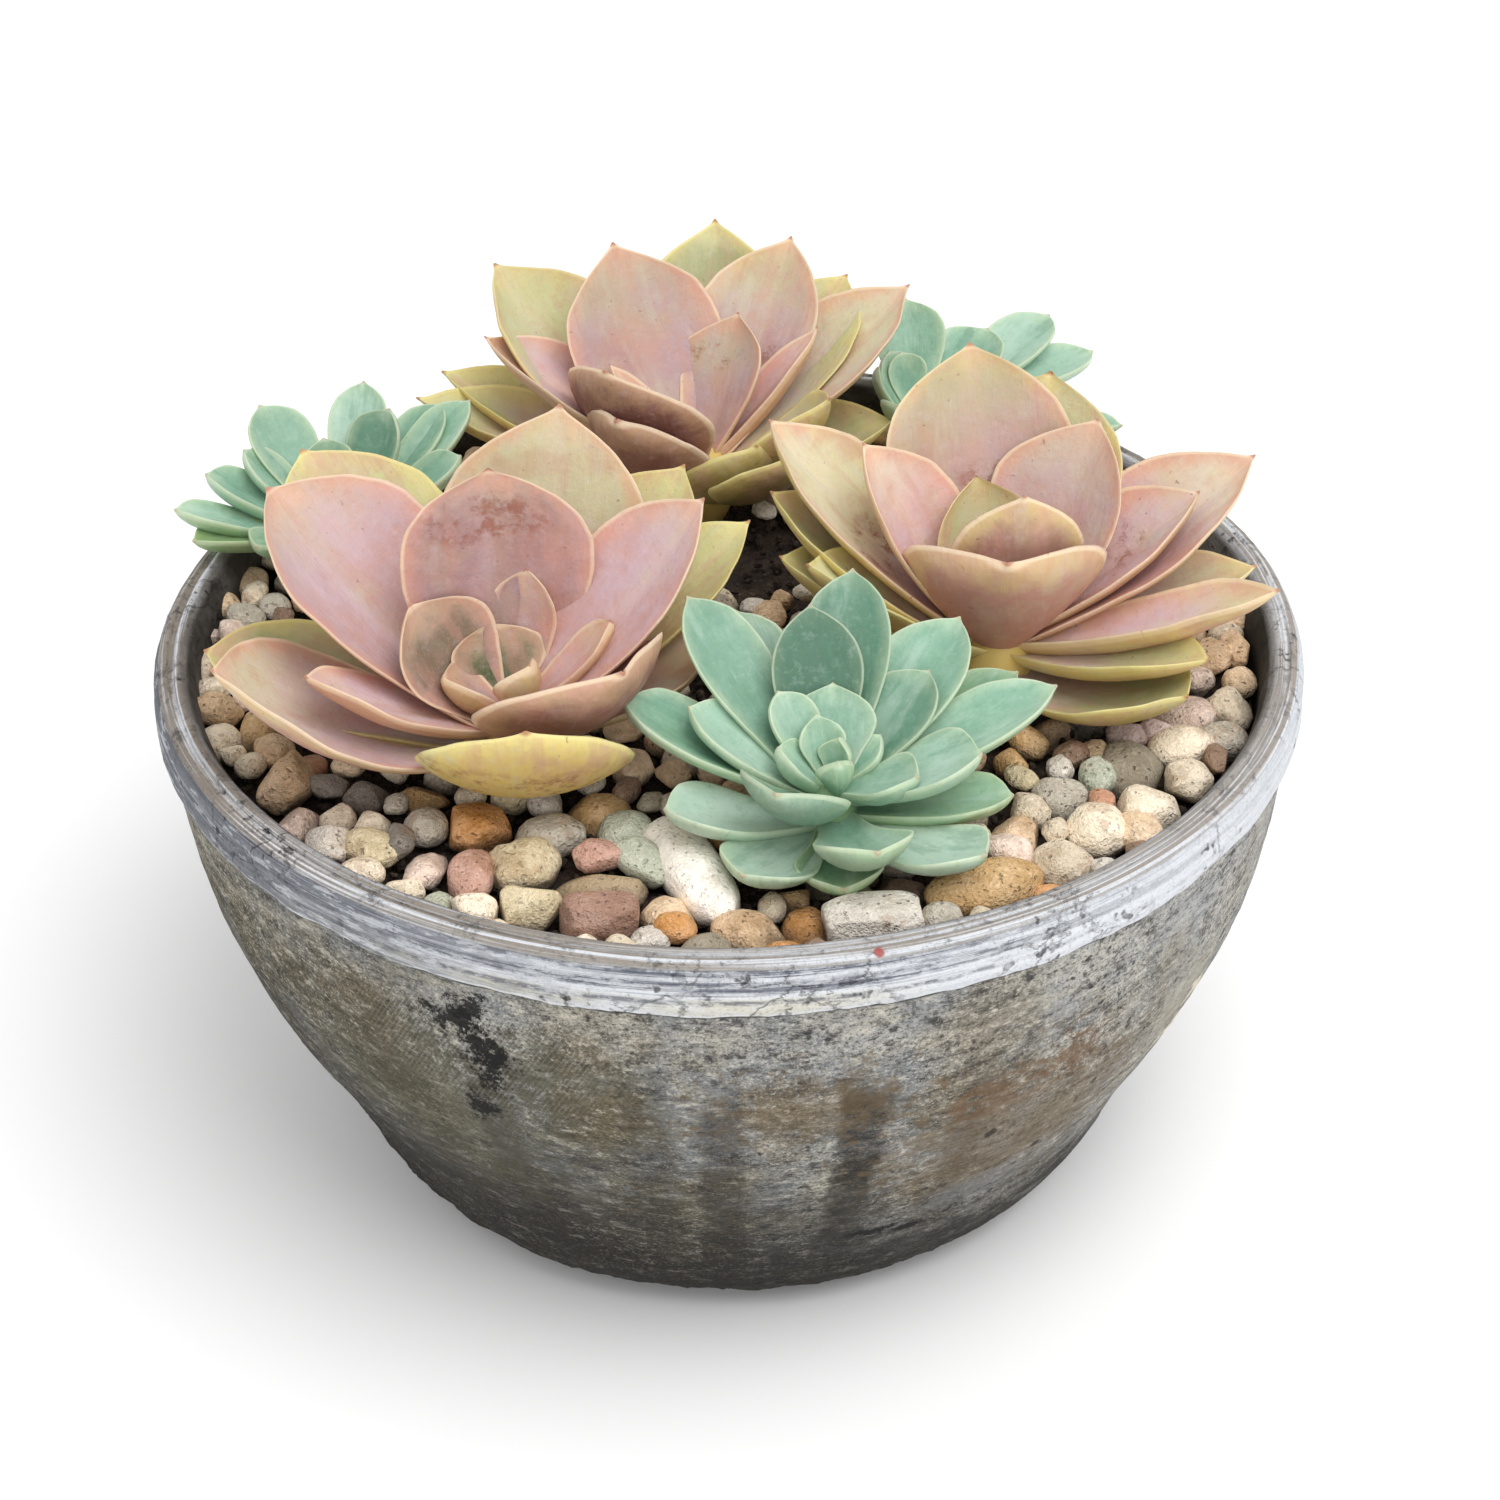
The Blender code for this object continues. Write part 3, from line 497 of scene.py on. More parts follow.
leafOutlines = {
    "broad": ((0, 0.34), (0.12, 0.52), (0.3, 0.76), (0.45, 0.93), (0.6, 1.0), (0.72, 0.96), (0.84, 0.76),
              (0.91, 0.52), (0.955, 0.28), (0.985, 0.07), (1, 0.01)),
    "pointed": ((0, 0.34), (0.12, 0.54), (0.3, 0.79), (0.45, 0.96), (0.6, 1.0), (0.72, 0.91), (0.82, 0.7),
                (0.9, 0.42), (0.95, 0.19), (0.98, 0.06), (1, 0.01)),
    "spoon": ((0, 0.34), (0.12, 0.44), (0.3, 0.6), (0.45, 0.8), (0.6, 0.96), (0.72, 1.0), (0.84, 0.88),
              (0.915, 0.62), (0.955, 0.36), (0.982, 0.11), (1, 0.015)),
    "blade": ((0, 0.36), (0.12, 0.5), (0.3, 0.7), (0.45, 0.9), (0.6, 1.0), (0.72, 0.93), (0.84, 0.7),
              (0.91, 0.44), (0.955, 0.22), (0.982, 0.07), (1, 0.015)),
}
leafKinds = {
    "pink": {"Leaf Thickness": 4.6 * mm, "Cup Narrowing": 0.12, "Tip Thinning": 0.5, "Edge Fullness": 0.32,
             "Sides Around": 32, "Rings Along": 44, "Wave Height": 3.6 * mm, "Wave Scale": 45.0},
    "green": {"Leaf Thickness": 4.4 * mm, "Cup Narrowing": 0.12, "Tip Thinning": 0.4, "Edge Fullness": 0.46,
              "Sides Around": 24, "Rings Along": 32, "Wave Height": 1.2 * mm, "Wave Scale": 60.0},
}


def outlineCurve(tree, along, points):
    curve = put(tree, "ShaderNodeFloatCurve", {"Value": along})
    handles = curve.mapping.curves[0].points
    handles[0].location = points[0]
    handles[-1].location = points[-1]
    for point in points[1:-1]:
        handles.new(*point)
    curve.mapping.update()
    return Field(tree, curve.outputs[0])


def leafTree(name, roundOutline, taperedOutline):
    tree, given = startTree(name, {
        "Vector": ["Crown"], "Int": ["Sides Around", "Rings Along"], "Material": ["Leaf Material"],
        "Float": ["Leaf Thickness", "Cup Narrowing", "Tip Thinning", "Edge Fullness", "Wave Height",
                  "Wave Scale", "Seed"]})
    tube = put(tree, "GeometryNodeMeshCylinder", {
        "Vertices": given["Sides Around"], "Side Segments": given["Rings Along"], "Radius": 1.0,
        "Depth": 1.0})
    leaves = copiesOnPoints(tree, given["Geometry"], tube.outputs["Mesh"])

    # the rings stand closer together towards the tip
    across, top, level = parts(tree, readField(tree, "blank", "FLOAT_VECTOR"))
    along = 1.0 - (0.5 - level).calc("MAXIMUM", 0.0) ** 1.5
    azimuth, pitch, curl = (readField(tree, field) for field in ("azimuth", "pitch", "curl"))
    length, width, cup = (readField(tree, field) for field in ("length", "width", "cup"))
    out, lift, roll = (readField(tree, field) for field in ("start", "lift", "roll"))
    number, taper = readField(tree, "leafNumber"), readField(tree, "taper")
    seed = number * 3.7 + given["Seed"]

    # the middle line bends evenly, so it is an arc of a circle
    startAngle = pitch - curl * 0.5
    angle = startAngle + curl * along
    reach = out + length / curl * (angle.calc("SINE") - startAngle.calc("SINE"))
    rise = lift + length / curl * (startAngle.calc("COSINE") - angle.calc("COSINE"))

    rounded = outlineCurve(tree, along, roundOutline)
    share = rounded + (outlineCurve(tree, along, taperedOutline) - rounded) * taper
    half = width * 0.5 * share
    wave = given["Wave Height"] * along
    margin = joined(tree, across.calc("SIGN"), along * length, 0.0)
    wobble = noise(tree, margin, 70.0, 2.0, 0.5, seed + 20.0) - 0.5
    half = half + wobble * wave * share * 0.9
    thick = given["Leaf Thickness"] * share.calc("SQRT") * (1.0 - given["Tip Thinning"] * along)

    # a cupped upper face, a keeled lower face and a rounded margin
    bend = cup * half * across * across
    narrow = 1.0 - given["Cup Narrowing"] * cup * across * across
    depth = top.calc("MINIMUM", 0.0).size()
    full = given["Edge Fullness"]
    below = (depth ** 0.5 * full + depth ** 1.7 * (1.0 - full)) * thick * -1.0
    above = top.calc("MAXIMUM", 0.0) * thick * full * 0.5
    crease = (1.0 - (across * 5.0).size()).calc("MAXIMUM", 0.0) * top.calc("MAXIMUM", 0.0) * half * -0.035
    inLeaf = joined(tree, across * half, along * length, 0.0)
    ripple = noise(tree, inLeaf, given["Wave Scale"], 1.0, 0.5, seed) - 0.5
    ripple = ripple * wave * (0.25 + across * across)
    height = bend + below + above + crease + ripple
    middleLine = joined(tree, 0.0, along * length, 0.0)
    sway = noise(tree, middleLine, given["Wave Scale"], 1.0, 0.5, seed + 50.0) - 0.5
    aside = across * half * narrow + sway * wave

    rollSine, rollCosine = roll.calc("SINE"), roll.calc("COSINE")
    lean = aside * rollSine + height * rollCosine
    outward = reach - angle.calc("SINE") * lean
    sideways = aside * rollCosine - height * rollSine
    upward = rise + angle.calc("COSINE") * lean
    x = outward * azimuth.calc("COSINE") - sideways * azimuth.calc("SINE")
    y = outward * azimuth.calc("SINE") + sideways * azimuth.calc("COSINE")
    place = vectorMath(tree, "ADD", given["Crown"], joined(tree, x, y, upward))
    shaped = put(tree, "GeometryNodeSetPosition", {"Geometry": leaves, "Position": place}).outputs[0]

    # the materials read where on its leaf a spot lies; the distance to the margin is in mm
    edge = ((1.0 - across.size()) * half).calc("MINIMUM", (1.0 - along) * length * 0.6) * 1000.0
    for field, value in {"leafAcross": across, "leafAlong": along, "leafTop": top, "leafEdge": edge}.items():
        shaped = storeField(tree, shaped, field, value)
    onLeaf = joined(tree, across * half, along * length, seed * 0.11)
    shaped = storeField(tree, shaped, "leafPlace", onLeaf, "FLOAT_VECTOR")
    finishTree(tree, shaped, given["Leaf Material"])
    return tree


# Leaf rows: direction, pitch, curl (degrees), length, width (mm), cup, start, lift (mm), roll (degrees),
# then how rosy (on the green plants, how pale) and how golden the leaf is, how long its tip tapers and
# how dark it is, partly its own darker tone and partly painted shade on a leaf that lies in shade
pinkLeftRosette = {
    "name": "pink_rosette_left", "crown": (-49, -45, 134), "kind": "pink", "core": 9,
    "stains": {2: (0.79, 0.1, 0.25), 3: (0.4, -0.6, 0.2), 10: (0.62, -0.1, 0.34)},
    "leaves": (
        (154, 39.5, 15, 73, 52, 0.35, 3, 0, 0, 0.95, 0.1, 0, 0.26),
        (99, 82, 10, 56, 44, 0.15, 10, 0, 0, 1, 0, 0, 0.5),
        (76, 56, 10, 68, 50, 0.12, 9, 0, 0, 0.2, 0.35, 1, 0.12),
        (135, 34, 10, 79, 45, 0.3, 3, 0, 0, 0, 0.7, 0.3, 0),
        (18, 48, 15, 65, 34, 0.35, 3, 1, 14, 1, 0, 0.7, 0.12),
        (48, 38, 10, 71, 42, 0.3, 3, -2, 0, 0.1, 0.9, 0.8, 0),
        (35, 27, 10, 71, 32, 0.35, 3, -2, 0, 0.1, 0.8, 0.8, 0),
        (8, 22, 10, 46, 36, 0.3, 3, -2, 0, 0.7, 0.3, 0, 0.2),
        (310, 38, 50, 52, 50, 0.4, 3, 3, 0, 0.85, 0, 0.5, 0.7),
        (280, 34, 90, 57, 48, 0.22, 3, -1, -6, 0.25, 0.65, 0.6, 0),
        (201, 29, 45, 72, 50, 0.25, 3, -4, 0, 0.55, 0.23, 0.6, 0.12),
        (206, 31, 20, 50, 22, 0.25, 3, 0, 0, 1, 0, 0.5, 0),
        (172, 17, 10, 69, 38, 0.3, 3, -6, 0, 0.1, 0.9, 0, 0.42),
        (168, 57, 25, 31, 30, 0.35, 4, 3, -24, 0.5, 0.1, 0.3, 0.86),
        (75, 76, 20, 29, 16, 0.3, 9, 3, 0, 0.8, 0.1, 0, 0.2),
        (12, 42, 20, 29, 13, 0.3, 3, 4, 0, 0.7, 0.3, 0, 0),
        (110, 60, 20, 18, 23, 0.3, 3, 4, 0, 0, 0.2, 0, 1),
        (200, 42, 30, 17, 18, 0.5, 2, 5, 0, 0.5, 0.3, 1, 0.5),
        (330, 65, 30, 13, 15, 0.5, 1, 6, 0, 0.4, 0.3, 1, 0.6),
    ),
}
pinkBackRosette = {
    "name": "pink_rosette_back", "crown": (-8, 74, 134), "kind": "pink", "core": 9,
    "stains": {3: (0.5, 0.1, 0.18), 13: (0.7, 0.2, 0.2), 11: (0.5, 0.0, 0.2)},
    "leaves": (
        (122, 52, 40, 62, 46, 0.2, 3, 0, 0, 0.7, 0.3, 1, 0.35),
        (145, 41, 30, 62, 52, 0.3, 18, 1, 10, 0.1, 0.55, 1, 0.05),
        (62.5, 40, 15, 66, 37, 0.3, 3, 1, 0, 0.68, 0.35, 1, 0.28),
        (86, 36.5, 10, 77, 40, 0.25, 3, -5, 0, 0.1, 0.9, 1, 0.48),
        (50, 29, 10, 67, 40, 0.3, 3, 0, 0, 0.1, 0.8, 1, 0),
        (30, 31, 15, 71, 38, 0.35, 3, 0, 0, 0.3, 0.3, 1, 0.1),
        (30, 42, 15, 44, 14, 0.4, 3, 2, -10, 1, 0, 1, 0),
        (167, 31, 15, 59, 32, 0.35, 5, 2, 4, 1, 0, 1, 0),
        (172, 15, 15, 73, 30, 0.4, 3, -3, 0, 0.5, 0.6, 1, 0.2),
        (160, 17, 15, 72, 32, 0.4, 3, -5, 0, 0.2, 0.7, 1, 0.1),
        (219, 58, 50, 44, 50, 0.3, 6, 1, 11, 1, 0, 0.6, 0.95),
        (232, 46, 50, 42, 40, 0.35, 4, -2, 0, 1, 0, 0, 0.85),
        (68, 50, 20, 39, 35, 0.3, 3, 2, -25, 0.5, 0.12, 1, 0.3),
        (150, 42, 20, 31, 10, 0.4, 3, 3, 0, 0.6, 0.2, 1, 0),
        (332, 42, 50, 48, 34, 0.4, 3, -2, 0, 0.2, 0.8, 1, 0.1),
        (10, 14, 20, 50, 32, 0.4, 3, -3, 0, 0.2, 0.9, 1, 0.3),
        (318, 32, 60, 42, 36, 0.35, 3, -3, 0, 0, 0.9, 1, 0.8),
        (300, 42, 60, 38, 36, 0.35, 3, -4, 0, 0, 0.9, 1, 0.6),
        (140, 70, 20, 15, 9, 0.4, 3, 3, 0, 0.4, 0.3, 1, 0.2),
    ),
}
pinkRightRosette = {
    "name": "pink_rosette_right", "crown": (63, -11, 134), "kind": "pink", "core": 9,
    "stains": {1: (0.5, -0.35, 0.2), 7: (0.45, 0.2, 0.25), 10: (0.6, 0.1, 0.2)},
    "leaves": (
        (98, 58, 15, 66, 47, 0.25, 8, 0, 0, 0.7, 0.42, 0.6, 0.34),
        (73, 45, 10, 65, 46, 0.3, 3, 0, 0, 0.1, 0.55, 0.6, 0),
        (48, 56, 15, 54, 37, 0.3, 4, 0, 0, 0.7, 0.15, 0.8, 0.2),
        (110, 68, 20, 36, 28, 0.45, 3, 2, 0, 0, 0.5, 0.8, 0.12),
        (290, 80, 25, 42, 32, 0.25, 2, 2, -12, 0.5, 0.3, 1, 0.42),
        (268, 61, 8, 36, 49, 0.45, 3, 1, 0, 1, 0.1, 0.3, 0.2),
        (155, 38.5, 15, 72, 37, 0.35, 3, 0, 0, 0, 0.35, 0.7, 0),
        (157, 55, 15, 55, 30, 0.4, 3, 0, -10, 0.8, 0.1, 0.8, 0),
        (20, 31, 15, 71, 40, 0.35, 3, 0, 0, 0.7, 0.2, 0.8, 0),
        (15, 34, 15, 54, 30, 0.4, 3, 2, 0, 0.9, 0.1, 0.6, 0.05),
        (7, 17, 15, 60, 28, 0.35, 3, -2, 0, 0.4, 0.5, 0.6, 0.1),
        (338, 24, 25, 67, 20, 0.5, 3, 0, 0, 0.7, 0.4, 0.5, 0),
        (325, 17, 20, 53, 23, 0.4, 3, -2, 0, 0.1, 1, 0.5, 0.1),
        (315, 15, 50, 55, 37, 0.3, 3, -5, 0, 0, 1, 0.7, 0.35),
        (189, 32, 20, 51, 30, 0.4, 3, -2, 0, 0.2, 0.7, 0.6, 0),
        (175, 26, 20, 54, 32, 0.4, 3, -3, 0, 0.3, 0.7, 0.6, 0.2),
        (165, 34, 20, 63, 30, 0.4, 3, -3, 0, 0.3, 0.8, 0.6, 0.2),
    ),
}
greenFrontRosette = {
    "name": "green_rosette_front", "crown": (22, -75, 134), "kind": "green", "core": 6,
    "leaves": (
        (98, 56, 20, 39, 21, 0.25, 6, 0, 0, 0, 0.1, 0.8, 0.78),
        (82, 42, 20, 52, 21, 0.3, 2, -1, 0, 0.1, 0.1, 0.4, 0.38),
        (135, 38, 20, 53, 20, 0.3, 2, 0, 0, 0.4, 0.1, 0.3, 0.25),
        (118, 33, 20, 50, 18, 0.35, 2, -3, 0, 0.1, 0.3, 0, 0.1),
        (50, 29, 20, 50, 24, 0.35, 2, 0, 0, 0.4, 0.1, 0.6, 0),
        (36, 18, 20, 53, 20, 0.35, 2, -4, 0, 0.3, 0.6, 0, 0),
        (45, 31, 20, 34, 20, 0.35, 2, 1, 0, 0.15, 0.1, 0.5, 0.3),
        (18, 20, 15, 53, 21, 0.35, 2, 0, 0, 0.55, 0.2, 0.6, 0),
        (352, 24, 25, 33, 22, 0.35, 2, 1, 0, 0.7, 0.1, 0, 0.05),
        (352, 11, 20, 38, 17, 0.35, 2, -3, 0, 0.7, 0.5, 0, 0),
        (318, 14, 40, 42, 20, 0.3, 2, -5, 0, 1.9, 0.1, 0, 0),
        (284, 22, 50, 37, 22, 0.35, 2, -3, 0, 0.6, 0.35, 0, 0.1),
        (236, 12, 40, 34, 22, 0.25, 2, -6, 0, 1.1, 0.3, 0, 0),
        (274, 6, 30, 27, 20, 0.3, 2, -6, 0, 0.4, 0.5, 0, 0),
        (197, 16, 30, 37, 20, 0.35, 2, -5, 0, 2.2, 0.1, 0, 0),
        (165, 32, 20, 35, 18, 0.35, 2, 0, 0, 0.7, 0.1, 0.3, 0),
        (168, 24, 20, 48, 20, 0.35, 2, 0, 0, 0.3, 0.3, 0, 0),
        (130, 48, 20, 23, 13, 0.35, 2, 2, 0, 0.6, 0.2, 0.2, 0.1),
        (88, 43, 20, 22, 20, 0.3, 2, 3, 0, 0.5, 0.2, 1.2, 0.15),
        (180, 48, 20, 14, 13, 0.35, 2, 3, 0, 0.5, 0.1, 1, 0),
        (110, 60, 20, 14, 11, 0.35, 2, 4, 0, 0.5, 0.1, 1.3, 0),
        (35, 36, 20, 14, 10, 0.35, 2, 3, 0, 0.5, 0.1, 1.1, 0),
        (242, 36, 40, 30, 26, 0.35, 2, 0, 0, 0.35, 0.1, 0, 0.4),
        (335, 25, 30, 20, 18, 0.35, 2, 3, 0, 0.5, 0.1, 0.5, 0.2),
        (60, 75, 30, 9, 8, 0.4, 1, 5, 0, 0.4, 0.3, 1.5, 0.1),
        (290, 80, 30, 8, 9, 0.4, 2, 4, 0, 0.4, 0.3, 1.4, 0.1),
    ),
}
greenLeftRosette = {
    "name": "green_rosette_left", "crown": (-97, 46, 132), "kind": "green", "core": 5,
    "leaves": (
        (203, 22, 20, 42, 13, 0.35, 2, 0, 0, 0.5, 0.2, 0, 0),
        (184, 31, 20, 35, 16, 0.35, 2, 0, 0, 0.6, 0.1, 0, 0.08),
        (137, 44, 20, 37, 19, 0.3, 2, 0, 0, 0.5, 0.1, 0, 0.1),
        (165, 42, 20, 30, 14, 0.35, 2, 0, 0, 0.5, 0.1, 0, 0),
        (81, 44, 20, 39, 16, 0.3, 2, 0, 0, 0.8, 0.1, 0, 0),
        (50, 57, 20, 32, 18, 0.35, 2, 0, 0, 0.1, 0.1, 0, 0.2),
        (52, 29, 20, 42, 16, 0.35, 2, 0, 0, 0.4, 0.3, 0, 0),
        (42, 29, 20, 46, 16, 0.35, 2, 0, 0, 0.5, 0.3, 0, 0),
        (212, 13, 8, 38, 15, 0.35, 2, 1, 0, 0.2, 1, 0, 0.2),
        (110, 60, 20, 22, 14, 0.35, 2, 1, 0, 0.2, 0.1, 0, 0.1),
        (15, 30, 20, 34, 16, 0.35, 2, 0, 0, 0.3, 0.2, 0, 0),
        (235, 20, 20, 30, 16, 0.35, 2, 0, 0, 0.2, 0.5, 0, 0.1),
    ),
}
greenBackRosette = {
    "name": "green_rosette_back", "crown": (50, 97, 134), "kind": "green", "core": 5,
    "leaves": (
        (97, 48, 20, 34, 20, 0.3, 2, 0, 0, 0.5, 0.1, 0, 0),
        (52, 28, 20, 34, 22, 0.35, 2, 0, 0, 0.5, 0.2, 0, 0),
        (42, 19, 20, 40, 20, 0.35, 12, 3, 0, 0.75, 0.1, 0.3, 0),
        (26, 8, 15, 40, 19, 0.35, 14, 4, 0, 0.7, 0.1, 0.4, 0),
        (115, 62, 20, 18, 12, 0.35, 2, 1, 0, 0.3, 0.2, 0, 0),
        (338, 10, 15, 54, 14, 0.35, 2, 1, 0, 0.5, 0.2, 0, 0),
        (130, 60, 20, 20, 13, 0.35, 2, 0, 0, 0.3, 0.2, 0, 0.1),
        (160, 58, 20, 18, 12, 0.35, 2, 0, 0, 0.3, 0.2, 0, 0.1),
        (250, 42, 20, 22, 14, 0.35, 2, 0, 0, 0.2, 0.4, 0, 0.2),
        (300, 35, 20, 26, 15, 0.35, 2, 0, 0, 0.3, 0.3, 0, 0.1),
    ),
}
leafColumns = {
    "azimuth": (0, math.pi / 180), "pitch": (1, math.pi / 180), "curl": (2, math.pi / 180), "length": (3, mm),
    "width": (4, mm), "cup": (5, 1), "start": (6, mm), "lift": (7, mm), "roll": (8, math.pi / 180),
    "rose": (9, 1), "gold": (10, 1), "taper": (11, 1), "duskAndShade": (12, 1),
}


def leafFields(stains):
    fields = {}
    for field, (column, unit) in leafColumns.items():
        fields[field] = ("FLOAT", lambda row, column=column, unit=unit: row[1][column] * unit)
    fields["leafNumber"] = ("FLOAT", lambda row: row[0])
    fields["stain"] = ("FLOAT_VECTOR", lambda row: stains.get(row[0] + 1, (0, 0, 0)))
    return fields


def makeRosette(rosette, trees, materials):
    rows = list(enumerate(rosette["leaves"]))
    item = pointObject(rosette["name"] + "_leaves", rows, leafFields(rosette.get("stains", {})))
    crown = Vector(rosette["crown"]) * mm
    values = dict(leafKinds[rosette["kind"]])
    values.update({"Crown": crown, "Seed": crown.x * 1000, "Leaf Material": materials[rosette["kind"]]})
    growMesh(item, trees[rosette["kind"]], values)
    addStem(item, crown, rosette["core"] * mm)
    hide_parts(rosette["name"])
    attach(item, "root")
    return item


stem = {
    "foot": 117.5 * mm, "aboveCrown": 5 * mm, "share": 0.6, "sides": 24, "rows": 8,
    "looks": {"leafEdge": 9, "leafAlong": 0.3, "leafTop": -1, "rose": 0.2, "gold": 0.5},
}


def addStem(item, crown, core):
    # a short stem that widens into the core under the leaves
    painted = item.data.polygons[0].material_index
    bm = bmesh.new()
    bm.from_mesh(item.data)
    top = crown.z + stem["aboveCrown"]
    turns = [math.tau * side / stem["sides"] for side in range(stem["sides"])]
    around = [(math.cos(turn), math.sin(turn)) for turn in turns]
    rings = []
    for row in range(stem["rows"] + 1):
        share = row / stem["rows"]
        radius = core * (stem["share"] + (1 - stem["share"]) * math.sin(share * math.pi))
        height = stem["foot"] + (top - stem["foot"]) * share
        rings.append([bm.verts.new((crown.x + radius * x, crown.y + radius * y, height)) for x, y in around])
    for lower, upper in zip(rings, rings[1:]):
        for side in range(stem["sides"]):
            following = (side + 1) % stem["sides"]
            face = bm.faces.new((lower[side], lower[following], upper[following], upper[side]))
            face.smooth = True
            face.material_index = painted
    for ends in (reversed(rings[0]), rings[-1]):
        bm.faces.new(ends).material_index = painted
    for field, value in stem["looks"].items():
        layer = bm.verts.layers.float.get(field)
        for vertex in (vertex for ring in rings for vertex in ring if layer):
            vertex[layer] = value
    bm.to_mesh(item.data)
    bm.free()


leafMaterials = {"pink": makePinkLeafMaterial(), "green": makeGreenLeafMaterial()}
leafTrees = {
    "pink": leafTree("pinkLeaves", leafOutlines["broad"], leafOutlines["pointed"]),
    "green": leafTree("greenLeaves", leafOutlines["spoon"], leafOutlines["blade"]),
}
plants = (pinkLeftRosette, pinkBackRosette, pinkRightRosette, greenFrontRosette, greenLeftRosette,
          greenBackRosette)
rosettes = [makeRosette(plant, leafTrees, leafMaterials) for plant in plants]
print("rosettes grown:", sum(len(item.data.polygons) for item in rosettes), "faces")

# Pebbles: place (mm), size across and deep (mm), turn (degrees), tone

tones = {
    "white": colour(250, 242, 230), "cream": colour(250, 232, 204), "peach": colour(240, 208, 168),
    "tan": colour(224, 188, 146), "ochre": colour(216, 174, 114), "rust": colour(206, 148, 112),
    "orange": colour(220, 154, 78), "brown": colour(150, 120, 96), "grey": colour(200, 190, 172),
    "darkGrey": colour(142, 132, 122), "mauve": colour(220, 194, 188), "blush": colour(238, 212, 194),
    "redBrown": colour(206, 158, 138), "greenGrey": colour(194, 198, 176),
    "yellowGrey": colour(222, 204, 164),
    "paleGrey": colour(228, 218, 204), "beige": colour(230, 212, 184), "greyBrown": colour(158, 146, 124),
    "oldRose": colour(170, 130, 110), "mottled": colour(176, 152, 116),
}
openPebbles = (
    (-119, 34.5, 9, 10, 0, "peach"), (-114, 46, 9, 10, 0, "cream"), (-124, 22, 9, 9, 0, "peach"),
    (-127, 9, 9, 8, 0, "blush"), (-125, -4, 9, 13, 0, "beige"),
    (-121, -16, 10, 8, 0, "cream"), (-118, -26, 12, 9, 0, "tan"), (-116, -36, 10, 11, 0, "cream"),
    (-112, -20, 8, 11, 0, "blush"), (-108, -31, 10, 15, 0, "ochre"), (-103, -41, 10, 13, 10, "tan"),
    (-94, -46, 8, 11, 0, "rust"), (-89, -56, 9, 7, 0, "darkGrey"), (-80, -58, 12, 10, 0, "darkGrey"),
    (-68, -59, 12, 10, 0, "ochre"), (-94, -69, 9, 14, -20, "blush"), (-86, -67, 9, 9, 0, "cream"),
    (-78, -70, 9, 9, 0, "cream"), (-73, -64, 6, 7, 0, "grey"), (-66, -71, 10, 11, 0, "grey"),
    (-71, -79, 7, 10, 0, "darkGrey"), (-77, -80, 13, 9, -30, "yellowGrey"),
    (-86, -79, 11, 11, 0, "paleGrey"), (-78, -89, 10, 8, 0, "cream"), (-65, -86, 9, 15, -10, "blush"),
    (-69, -95, 10, 8, 0, "cream"), (-61, -99, 7, 8, 0, "greenGrey"), (-55, -71, 15, 14, 0, "orange"),
    (-55, -89, 10, 16, 0, "redBrown"), (-53, -102, 10, 9, 0, "cream"), (-44, -85, 17, 14, 10, "yellowGrey"),
    (-39, -74, 16, 13, 0, "grey"), (-28, -66, 17, 16, 0, "ochre"), (-22, -74, 13, 16, 15, "greenGrey"),
    (-28, -84, 11, 9, 0, "redBrown"), (-18, -86, 10, 17, 50, "greenGrey"),
    (-30, -94, 26, 13, 4, "mottled"), (-42, -101, 14, 12, 0, "yellowGrey"),
    (-13, -103, 11, 11, 0, "peach"), (-11, -110, 9, 8, 0, "orange"), (-16, -112, 9, 7, 0, "paleGrey"),
    (4, -108, 16, 14, 0, "tan"), (16, -106, 11, 15, 0, "orange"), (11, -115, 9, 7, 0, "orange"),
    (37, -94, 15, 8, 0, "brown"), (60, -82, 11.1, 8.6, 0, "blush"), (44, -107, 9, 8, 0, "grey"),
    (2, -84, 9, 8, 0, "brown"), (9, -88, 9, 7, 0, "brown"), (104, -27, 18.5, 18.5, 20, "blush"),
    (115.5, -25, 12.3, 14.7, 0, "beige"), (112, -38, 12.3, 12.3, 0, "grey"),
    (102, -42, 16.1, 12.3, 10, "cream"), (90, -50, 14.7, 20.9, 0, "greyBrown"),
    (92, -66, 14.7, 13.5, 0, "cream"), (102, -56, 11.1, 12.3, 0, "beige"),
    (109, -49, 6.2, 9.9, 0, "brown"), (89, -77, 9.9, 11.1, 0, "peach"), (73, -61, 13.5, 13.5, 0, "grey"),
    (82, -54, 8.6, 11.1, 0, "greenGrey"), (74, -51, 6.2, 7.4, 0, "paleGrey"), (82, -64, 6.2, 8.6, 0, "rust"),
    (91, -37, 9.9, 8.6, 0, "mauve"), (97, -36, 7.4, 7.4, 0, "mauve"), (83, -44, 8.6, 9.9, 0, "peach"),
    (77, -45, 8.6, 8.6, 0, "brown"), (120, -2, 7.4, 12.3, 0, "tan"), (114, -5, 9.9, 11.1, 0, "tan"),
    (119.5, -14, 8.6, 8.6, 0, "peach"), (110, -12, 8.6, 8.6, 0, "blush"), (100, -14, 11.1, 8.6, 0, "beige"),
    (71, -87, 13.5, 13.5, 0, "beige"), (80, -89, 7.4, 7.4, 0, "paleGrey"), (88, -84, 6.2, 6.2, 0, "brown"),
    (68, -97, 8.6, 7.4, 0, "orange"), (121, 15, 11.1, 13.5, 0, "peach"), (117, 29, 8.6, 11.1, 0, "paleGrey"),
    (118, 41, 9.9, 13.5, 0, "peach"), (62, -76, 12.3, 13.5, 0, "tan"), (64, -85, 8.6, 7.4, 0, "blush"),
    (66, -67, 9.9, 11.1, 0, "beige"), (110, 8, 11.1, 11.1, 0, "tan"),
)
